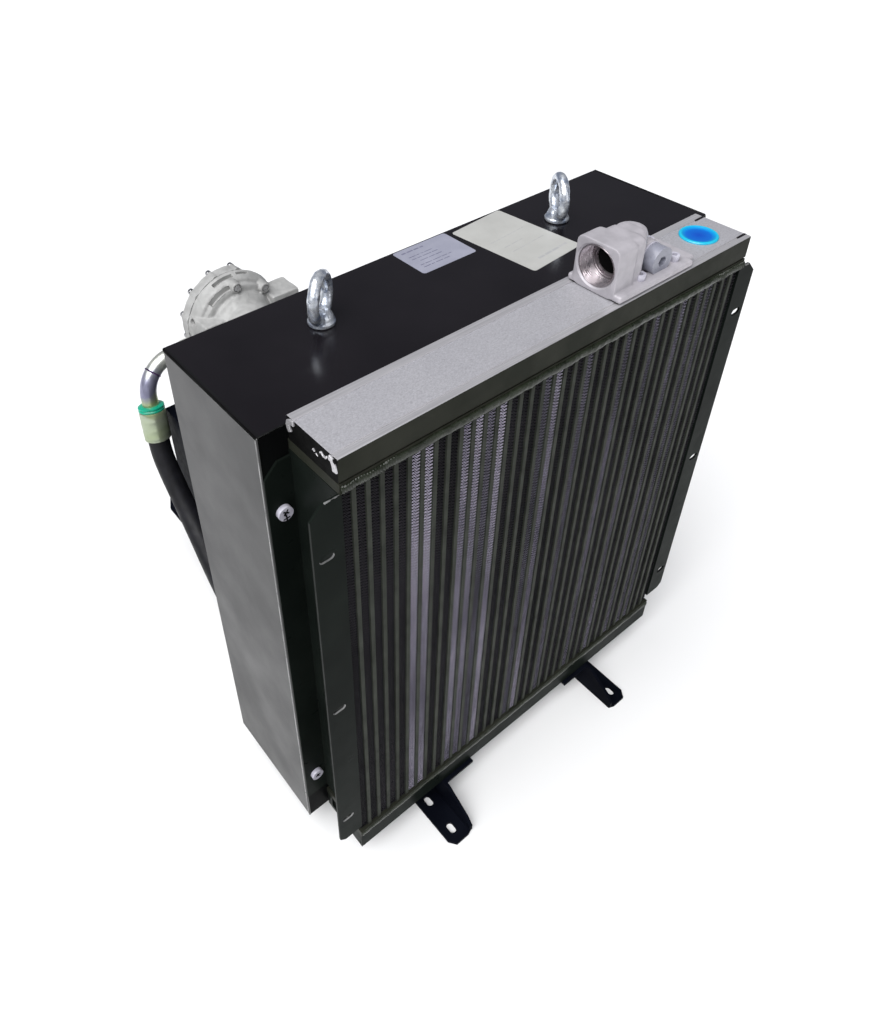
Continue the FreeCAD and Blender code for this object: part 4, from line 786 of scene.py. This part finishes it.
def make_top_tank():
    low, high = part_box("header_top")
    rings = [[(x, y, z) for y, z in tank_outline(low, high)] for x in (low.x, high.x)]
    mesh = joined("top_tank", [mesh_from("outline", *skin(rings))])
    tank = linked("top_tank", mesh)
    finished(tank, "bare_aluminium", "bare_aluminium", "header_top")
    for finish in ("painted_core", "drawn_aluminium", "black_paint_and_painted_shade"):
        mesh.materials.append(MATERIALS[finish])
    for face in mesh.polygons:
        centre, way = face.center, face.normal
        # End faces take the dull near-black: black end paint with painted shade at the inset end.
        if abs(way.x) > 0.9:
            face.material_index = 3
        elif centre.z < high.z - 0.5 * MM and way.y < -0.3 and centre.y < low.y + 3 * MM:
            face.material_index = 1
        elif centre.y < low.y + 9 * MM or centre.y > high.y - 10 * MM:
            face.material_index = 2
    bevelled(tank, 0.35 * MM, 1)
    # Dark blocks at the open ends of the two grooves: painted shade.
    for index, y in enumerate((low.y + 6.9 * MM, high.y - 10.6 * MM)):
        notch = box_mesh("groove_mouth_shade", (high.x - 14 * MM, y - 1.5 * MM, high.z - 3 * MM),
                         (high.x + 0.05 * MM, y + 1.5 * MM, high.z + 0.06 * MM))
        finished(linked(f"groove_mouth_shade_{index}", notch), "black_sheet", "painted_core")


def hook(name, points, x, depth, thick):
    """A bright hooked rib end of the tank's extrusion: a flat bar bent along points in Y and Z."""
    rings = []
    back = Vector((depth, 0, 0))
    for index, (y, z) in enumerate(points):
        before = points[max(index - 1, 0)]
        after = points[min(index + 1, len(points) - 1)]
        way = Vector((0, after[0] - before[0], after[1] - before[1])).normalized()
        across = Vector((0, -way.z, way.y)) * thick / 2
        centre = Vector((x, y, z))
        rings.append([centre - across, centre + across, centre + across + back, centre - across + back])
    piece = linked(name, mesh_from(name, *skin(rings)))
    bevelled(piece, 0.5 * MM, 2, 60)
    finished(piece, "drawn_aluminium", "bare_aluminium")


def make_hooks():
    """The hooked rib ends, a few scraps of swarf, and a dark plug of painted shade in a hole at the left end
    of the top tank.
    """
    low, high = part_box("header_top")
    top, left, front, rear = high.z, low.x, low.y, high.y
    depth = rear - front

    rear_hook = [(rear - ahead * MM, top - down * MM)
                 for ahead, down in ((11, 2.6), (6.5, 3.4), (3.6, 5.4), (2.6, 8.4), (3.2, 11.4), (5.2, 14.4))]
    hook("tank_hook_rear", rear_hook, left - 1.6 * MM, 4 * MM, 5.2 * MM)
    # Stand-off from the tank's end, depth, thickness, and the bend's points back from the front, down.
    bars = {
        "tank_hook_front": (1.6, 4, 5.4, ((10, 3.4), (6.4, 4.2), (4.6, 7.2), (3.6, 11), (3.2, 14.6))),
        "tank_scrap": (1.2, 2, 1.9, ((12.6, 5.6), (14.6, 8.2), (18.0, 8.6), (20.6, 6.4), (22.2, 8.0))),
        "tank_fleck": (1.0, 2, 1.2, ((29.4, 12.2), (31.4, 10.6), (32.0, 12.0))),
    }
    for name, (off, deep, thick, bend) in bars.items():
        points = [(front + back * MM, top - down * MM) for back, down in bend]
        hook(name, points, left - off * MM, deep * MM, thick * MM)
    sliver = [(front + depth * 0.42, top - 13 * MM), (front + depth * 0.38, top - 14.6 * MM)]
    hook("tank_sliver", sliver, left - 0.8 * MM, 1.4 * MM, 0.7 * MM)
    piece = lathe("tank_hole_shade", [(0, 0.4), (0, 1.9), (3.0, 1.9), (3.4, 1.5)],
                  (left - 1.9 * MM, front + 1.9 * MM, top - 2.4 * MM), (1, 0, 0), 24)
    finished(piece, "black_paint_and_painted_shade", "painted_core")


# ---- lifting eyes

def make_eye(name, node, heading):
    """A forged lifting eye on its collar, turned by a heading in degrees."""
    low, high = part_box(node)
    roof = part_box("fan_housing")[1].z
    centre = Vector(((low.x + high.x) / 2, (low.y + high.y) / 2, roof))
    wire = 5.7 * MM
    ring_radius = 20.5 * MM
    ring_centre = centre + Vector((0, 0, high.z - roof - ring_radius - wire))
    angle = math.radians(heading)
    up = Vector((0, 0, 1))
    across = Vector((math.sin(angle), math.cos(angle), 0))
    side = up.cross(across)
    rings = []
    for step in range(96):
        t = 2 * math.pi * step / 96
        out = across * math.cos(t) + up * math.sin(t)
        thick = wire * (1.0 + 0.12 * max(0.0, -math.sin(t)))
        ring = []
        for i in range(24):
            a = 2 * math.pi * i / 24
            reach = ring_radius + math.cos(a) * thick * 0.94
            ring.append(ring_centre + out * reach + side * math.sin(a) * thick)
        rings.append(ring)
    rings.append(rings[0])
    neck = [(0, 12.6), (1.2, 13.5), (4.0, 13.5), (5.0, 12.2), (8.0, 11.6), (11.0, 10.2), (14.5, 7.0)]
    shape = bmesh.new()
    shape.from_mesh(mesh_from("ring", *skin(rings, capped=False)))
    shape.from_mesh(turned(neck, centre, up, 48))
    bmesh.ops.remove_doubles(shape, verts=shape.verts, dist=0.00001)
    piece = linked(name, mesh_of(shape, name))
    fused(piece, 0.7 * MM, 5)

    def forged(place):
        lump = noise.noise(place * 160) * 0.40 + noise.noise(place * 420) * 0.16
        return lump * (1.0 if place.z > roof + 3 * MM else 0.2) - 0.15

    roughened(piece, forged)
    piece.data.shade_smooth()
    finished(piece, "zinc", "zinc", node)


# ---- valve block

PLUG_FACE = (0.123, -0.304, 0.6905)


def make_valve_block():
    """The cast block: rounded lumps fused into one skin, with the port and the plug's bore cut in."""
    low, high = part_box("valve_block")
    foot = low.z + 7 * MM
    # Extent in X, extent in Y, top, and edge radius in millimetres of each lump.
    lumps = (
        ((low.x, 0.086), (-0.318, -0.269), high.z, 7.5),
        ((0.070, 0.100), (-0.316, -0.275), high.z, 8.0),
        ((0.072, 0.113), (-0.308, -0.276), high.z - 0.4 * MM, 9.0),
        ((0.070, 0.132), (-0.298, -0.266), high.z - 8 * MM, 12.0),
        ((0.0553, 0.165), (-0.326, -0.263), foot, 2.4),
        ((0.145, 0.175), (-0.320, -0.269), foot, 3.0),
        ((0.100, 0.138), (-0.302, -0.266), foot + 10 * MM, 3.0),
    )

    def on_port_face(edge):
        return all(v.co.x < low.x + 1 * MM for v in edge.verts)

    parts = [box_mesh("lump", (left, front, low.z), (right, rear, top), radius * MM, 6,
                      None if radius < 4 else on_port_face)
             for (left, right), (front, rear), top, radius in lumps]
    parts.append(turned([(0, 15), (2, 15.8), (36, 15.8)], PLUG_FACE, (0, 1, 0), 48))
    parts.append(turned([(0, 16), (16, 16), (21, 14), (23.6, 9)], (0.104, -0.291, 0.700), (0, 0, 1), 48))
    block = linked("valve_body", joined("valve_body", parts))
    fused(block, 0.8 * MM, 4)
    port = Vector((low.x, -0.293, 0.6995))
    for profile, start, way in (
            ([(-2, 22.6), (0, 22.6), (1.6, 20.9), (26, 20.9)], port, (1, 0, 0)),
            ([(20, 14.8), (40, 14.8)], port, (1, 0, 0)),
            ([(-8, 15.6), (0, 15.6), (0.1, 11), (20, 11)], PLUG_FACE, (0, 1, 0))):
        carved(block, turned(profile, start, way, 96))
    smooth_by_angle(block.data, 38)
    finished(block, "block_aluminium", "cast_aluminium", "valve_block")
    make_thread(port)


def make_thread(port):
    """Internal pipe thread: a helical ridge on the port's wall, then the stepped seat."""
    pitch = 2.309 * MM
    length = 19 * MM
    count = 96
    steps = int(length / (pitch / 8))
    rings = []
    for step in range(steps + 1):
        along = 1.2 * MM + length * step / steps
        ring = []
        for i in range(count):
            t = 2 * math.pi * i / count
            phase = (along / pitch - i / count) % 1.0
            radius = 20.85 * MM - 1.7 * MM * (1 - abs(2 * phase - 1))
            ring.append(port + Vector((along, math.cos(t) * radius, math.sin(t) * radius)))
        rings.append(ring)
    mesh = mesh_from("port_thread", *skin(rings, capped=False))
    smooth_by_angle(mesh, 40)
    finished(linked("port_thread", mesh), "machined", "cast_aluminium")
    seat = [(19.5, 20.8), (19.5, 18.2), (20.3, 17.6), (20.3, 15.2), (21.2, 14.6), (22.6, 14.5)]
    finished(lathe("port_seat", seat, port, (1, 0, 0), 96, capped=False), "machined", "cast_aluminium")
    # The passage behind the seat is dark: painted shade in the bore.
    piece = lathe("bore_painted_shade", [(22.6, 14.5), (35, 14.3), (35.5, 0.5)], port, (1, 0, 0), 48)
    finished(piece, "black_paint_and_painted_shade", "cast_aluminium")


def make_spring():
    """The bypass valve's spring, rebuilt as a coil of wire on a mesh of its own."""
    low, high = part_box("bypass_spring")
    wire = 0.6 * MM
    turns = 3.5
    start = Vector(((low.x + high.x) / 2, low.y + wire, (low.z + high.z) / 2))
    radius = (high.x - low.x) / 2 - wire
    rise = high.y - low.y - 2 * wire
    steps = int(turns * 24)
    rings = []
    for step in range(steps + 1):
        t = 2 * math.pi * turns * step / steps
        out = Vector((math.cos(t), 0, -math.sin(t)))
        middle = start + out * radius + Vector((0, rise * step / steps, 0))
        rings.append([middle + Vector((out.x * math.cos(a), -math.sin(a), out.z * math.cos(a))) * wire
                      for a in (2 * math.pi * i / 10 for i in range(10))])
    mesh = mesh_from("valve_spring", *skin(rings))
    mesh.shade_smooth()
    spring = finished(linked("valve_spring", mesh), "steel", "steel", "bypass_spring")
    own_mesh(spring)


def make_port_cap():
    low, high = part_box("port_cap")
    centre = Vector(((low.x + high.x) / 2, (low.y + high.y) / 2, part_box("header_top")[1].z))
    profile = [(0.0, 19.9), (0.9, 20.0), (1.9, 19.3), (2.3, 18.2), (2.0, 16.9), (0.9, 15.4), (0.6, 13.0),
               (0.7, 6.0), (0.75, 0.3)]
    cap = lathe("cap_shell", profile, centre, (0, 0, 1), 72)
    cap.data.shade_smooth()
    MATERIALS["cap_plastic"] = cap_plastic(tuple(centre), 20 * MM)
    finished(cap, "cap_plastic", "blue_plastic", "port_cap")


# ---- labels

def rounded_slab(name, centre, size, radius, height, turn):
    """A thin slab with rounded corners."""
    spin = Matrix.Rotation(math.radians(turn), 2)
    corners = []
    for sx, sy, first in ((1, 1, 0), (-1, 1, 90), (-1, -1, 180), (1, -1, 270)):
        for i in range(7):
            t = math.radians(first + 15 * i)
            corner = Vector((sx * (size[0] / 2 - radius) + radius * math.cos(t),
                             sy * (size[1] / 2 - radius) + radius * math.sin(t)))
            corners.append(spin @ corner + Vector(centre[:2]))
    rings = [[(p.x, p.y, z) for p in corners] for z in (centre[2], centre[2] + height)]
    return mesh_from(name, *skin(rings))


def make_label(name, node, size, turn, film, ink, rows, seed):
    """A label with rounded corners and plain ruled bars in place of any print.

    Each row is its place up the label, its start and end across it, and its bars' height in millimetres.
    """
    low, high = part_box(node)
    centre = (low + high) / 2
    spot = Vector((centre.x, centre.y, low.z))
    slab = rounded_slab(name, spot, size, 3.5 * MM, 0.2 * MM, turn)
    finished(linked(name, slab), film, "label", node)
    spin = Matrix.Rotation(math.radians(turn), 4, "Z")
    chance = random.Random(seed)
    bars = []
    for across, here, end, thick in rows:
        while here < end - 0.02:
            length = min(chance.uniform(0.05, 0.16), end - here)
            bar = box_mesh("bar", (-length * size[0] / 2, -thick / 2 * MM, 0),
                           (length * size[0] / 2, thick / 2 * MM, 0.04 * MM))
            middle = Vector(((here + length / 2 - 0.5) * size[0], (across - 0.5) * size[1], 0.2 * MM))
            bar.transform(Matrix.Translation(spot + spin @ middle) @ spin)
            bars.append(bar)
            here += length + 0.02
    finished(linked(name + "_marks", joined(name + "_marks", bars)), ink, "label")


# ---- elbow, ring, ferrules

def make_hose_fittings():
    upper = [(-0.5, 16.6), (-0.5, 19.6), (0.5, 20.3), (2.5, 20.5), (4.0, 20.0), (6.0, 20.3), (16, 20.5),
             (18, 20.15), (20, 20.4), (32, 20.5), (34, 20.15), (36, 20.4), (44, 20.4), (46.6, 19.7),
             (47.8, 18.2)]
    piece = lathe("ferrule_upper", upper, HOSE_TOP, HOSE_WAY, 72)
    finished(piece, "yellow_zinc", "yellow_zinc", "upper_ferrule")
    ring = [(47.6, 15), (47.8, 19.0), (48.6, 20.1), (50.2, 20.2), (51.4, 19.2), (52.0, 18.8), (52.7, 19.2),
            (53.6, 20.2), (55.0, 20.0), (55.9, 18.6), (56.0, 12.6)]
    finished(lathe("green_ring", ring, HOSE_TOP, HOSE_WAY, 72), "green_ring", "green_ring", "hose_ring")


def elbow_middle():
    """Centre and direction of the elbow's tube halfway round its bend, as in the CAD model."""
    arc_end = HOSE_TOP + HOSE_WAY * (48 + 8 + 12) * MM
    left = Vector((-1, 0, 0))
    turn = left.angle(-HOSE_WAY)
    bend = 55 * MM
    corner = arc_end + HOSE_WAY * bend * math.tan(turn / 2)
    arc_start = corner - left * bend * math.tan(turn / 2)
    inward = (arc_start + arc_end - corner * 2).normalized()
    middle = corner + inward * (bend / math.cos(turn / 2) - bend)
    return middle, (arc_end - arc_start).normalized()


def make_elbow_seam():
    middle, way = elbow_middle()
    piece = lathe("elbow_seam", [(-1.5, 12.0), (-1.1, 13.0), (0, 13.6), (1.1, 13.0), (1.5, 12.0)], middle, way)
    finished(piece, "seam_tint", "yellow_zinc")


# ---- pump casting

PUMP_FRONT = 172 * MM
PUMP_FACE = 308 * MM
SHAFT_Z = 353 * MM
LUG_CIRCLE = 66 * MM
LUG_ANGLES = (-2, 44, 112, 180, 226)


def make_pump_casting():
    """Cast pump body: neck, ring, face with lugs, bell with pockets, and a port block on each side."""
    axis = (0, 1, 0)
    shaft = Vector((0, PUMP_FRONT, SHAFT_Z))
    profile = [(0, 85.5), (12.5, 85.5), (14, 84), (15, 50), (22, 46.2), (118, 46.2), (127, 51), (131, 54.5),
               (135, 54.8), (136.2, 53.5), (137, 61), (139, 65.5), (145.5, 66), (146.2, 70), (148, 72.3),
               (156, 75.2), (168, 78.4)]
    lugs = [Vector((LUG_CIRCLE * math.sin(turn), PUMP_FACE, SHAFT_Z + LUG_CIRCLE * math.cos(turn)))
            for turn in map(math.radians, LUG_ANGLES)]
    parts = [turned(profile, shaft, axis, 96)]
    parts += [turned([(-3.8, 7.6), (-3.0, 8.8), (16, 9.2)], place, axis, 32) for place in lugs]
    parts += [box_mesh("port_block", low, high, 3 * MM) for low, high in (
        ((-0.0726, 0.2885, 0.320), (-0.032, 0.3375, 0.3836)),
        ((0.050, 0.2905, 0.3395), (0.0985, 0.3375, 0.3886)),
        ((-0.0855, 0.3065, 0.322), (-0.0726, 0.3335, 0.350)))]
    body = linked("pump_casting", joined("pump_casting", parts))
    fused(body, 1.3 * MM, 3)
    holes = [turned([(-6, 6.0), (1, 5.8)], place, axis, 32) for place in lugs]
    holes.append(turned([(-2, 6.4), (8, 6.2)], (-0.073, 0.329, 0.374), (1, 0, 0), 32))
    holes.append(turned([(-2, 15.2), (20, 15.2)], (0.099, 0.316, 0.364), (-1, 0, 0), 48))
    holes.append(annular_pocket(shaft, -24, 3, 155, 161, 70.5, 84))
    holes.append(annular_pocket(shaft, 9, 25, 157, 161.5, 71.5, 84))
    holes.append(annular_pocket(shaft, -44, -8, 139.5, 146.6, 61.5, 69.2))
    carved(body, joined("pump_cutters", holes))
    roughened(body, lambda place: sand_cast(place) - 0.5)
    smooth_by_angle(body.data, 50)
    finished(body, "cast_aluminium", "cast_aluminium", "pump_body")

    mesh = nodes["pump_cover"].data.copy()
    mesh.transform(nodes["pump_cover"].matrix_world)
    shrink = Matrix.Diagonal((0.985, 1, 0.985, 1))
    mesh.transform(Matrix.Translation(shaft) @ shrink @ Matrix.Translation(-shaft))
    cover = linked("pump_cover_casting", mesh)
    fused(cover, 1.3 * MM, 4)
    roughened(cover, lambda place: sand_cast(place) - 1.2)
    cover.data.shade_smooth()
    finished(cover, "cast_aluminium", "cast_aluminium", "pump_cover")


def sand_cast(place):
    """Height of a rough casting's skin, in millimetres."""
    return noise.noise(place * 45) * 0.9 + noise.noise(place * 130) * 0.55 + noise.noise(place * 320) * 0.2


def annular_pocket(shaft, first, last, start, end, inner, outer):
    """A curved bar round the shaft, from one angle to another; the other bounds are in millimetres."""
    rings = []
    steps = 14
    for step in range(steps + 1):
        turn = math.radians(first + (last - first) * step / steps)
        out = Vector((math.sin(turn), 0, math.cos(turn)))
        rings.append([shaft + Vector((0, along * MM, 0)) + out * (radius * MM)
                      for along, radius in ((start, inner), (start, outer), (end, outer), (end, inner))])
    return mesh_from("pocket", *skin(rings))


# ---- stage and lights

def make_stage():
    mesh = mesh_from("floor", [(-9, -9, 0), (9, -9, 0), (9, 9, 0), (-9, 9, 0)], [(0, 1, 2, 3)])
    floor = bpy.data.objects.new("floor", mesh)
    bpy.context.scene.collection.objects.link(floor)
    finish = Finish("floor_paint", roughness=0.9)
    finish.colour(finish.ramp(finish.noise(3, 2), (0.3, (0.80, 0.80, 0.80)), (0.7, (0.82, 0.82, 0.82))))
    floor.data.materials.append(finish.material)


def area_light(name, place, aim, size, power):
    data = bpy.data.lights.new(name, "AREA")
    data.shape = "RECTANGLE"
    data.size, data.size_y = size
    data.energy = power
    light = bpy.data.objects.new(name, data)
    light.location = place
    way = Vector(aim) - Vector(place)
    light.rotation_euler = way.to_track_quat("-Z", "Y").to_euler()
    bpy.context.scene.collection.objects.link(light)


def make_lights():
    world = bpy.data.worlds.new("world")
    bpy.context.scene.world = world
    world.use_nodes = True
    background = world.node_tree.nodes["Background"]
    background.inputs["Color"].default_value = (0.82, 0.86, 1.0, 1)
    background.inputs["Strength"].default_value = 0.16
    sun = bpy.data.objects.new("sky_light", bpy.data.lights.new("sky_light", "SUN"))
    sun.data.energy = 4.2
    sun.data.angle = math.radians(70)
    sun.rotation_euler = Vector((0.5, 0.15, -1)).to_track_quat("-Z", "Y").to_euler()
    bpy.context.scene.collection.objects.link(sun)
    area_light("key", (-1.6, -0.9, 2.6), (0, 0, 0.3), (1.6, 1.6), 22)
    area_light("front", (0.6, -2.2, 1.3), (0, -0.2, 0.4), (1.6, 1.2), 6)
    bpy.context.scene.view_settings.view_transform = "Standard"


# ---- build

make_camera()
paint_cad_nodes()
make_folds()
make_flange_edges()
make_slot_walls()
make_screw_crosses()
make_hose()
make_fins()
make_welds()
make_top_tank()
make_hooks()
make_eye("lifting_eye_left", "eye_bolt_left", 53)
make_eye("lifting_eye_right", "eye_bolt_right", 34)
make_valve_block()
make_spring()
make_port_cap()
make_label("label_rating", "rating_label", (72 * MM, 51.5 * MM), 0, "rating_film", "print_ink",
           [(0.86, 0.1, 0.5, 2.2), (0.66, 0.12, 0.55, 1.0), (0.56, 0.12, 0.62, 1.0), (0.44, 0.2, 0.6, 1.0),
            (0.30, 0.12, 0.7, 0.9), (0.20, 0.12, 0.6, 0.9)], 3)
make_label("label_info", "info_label", (77 * MM, 113 * MM), 5, "info_film", "faint_ink",
           [(0.12, 0.3, 0.9, 3.0), (0.36, 0.2, 0.85, 0.8), (0.46, 0.2, 0.6, 0.8), (0.60, 0.15, 0.85, 0.8)], 5)
make_hose_fittings()
make_elbow_seam()
make_pump_casting()
make_stage()
make_lights()
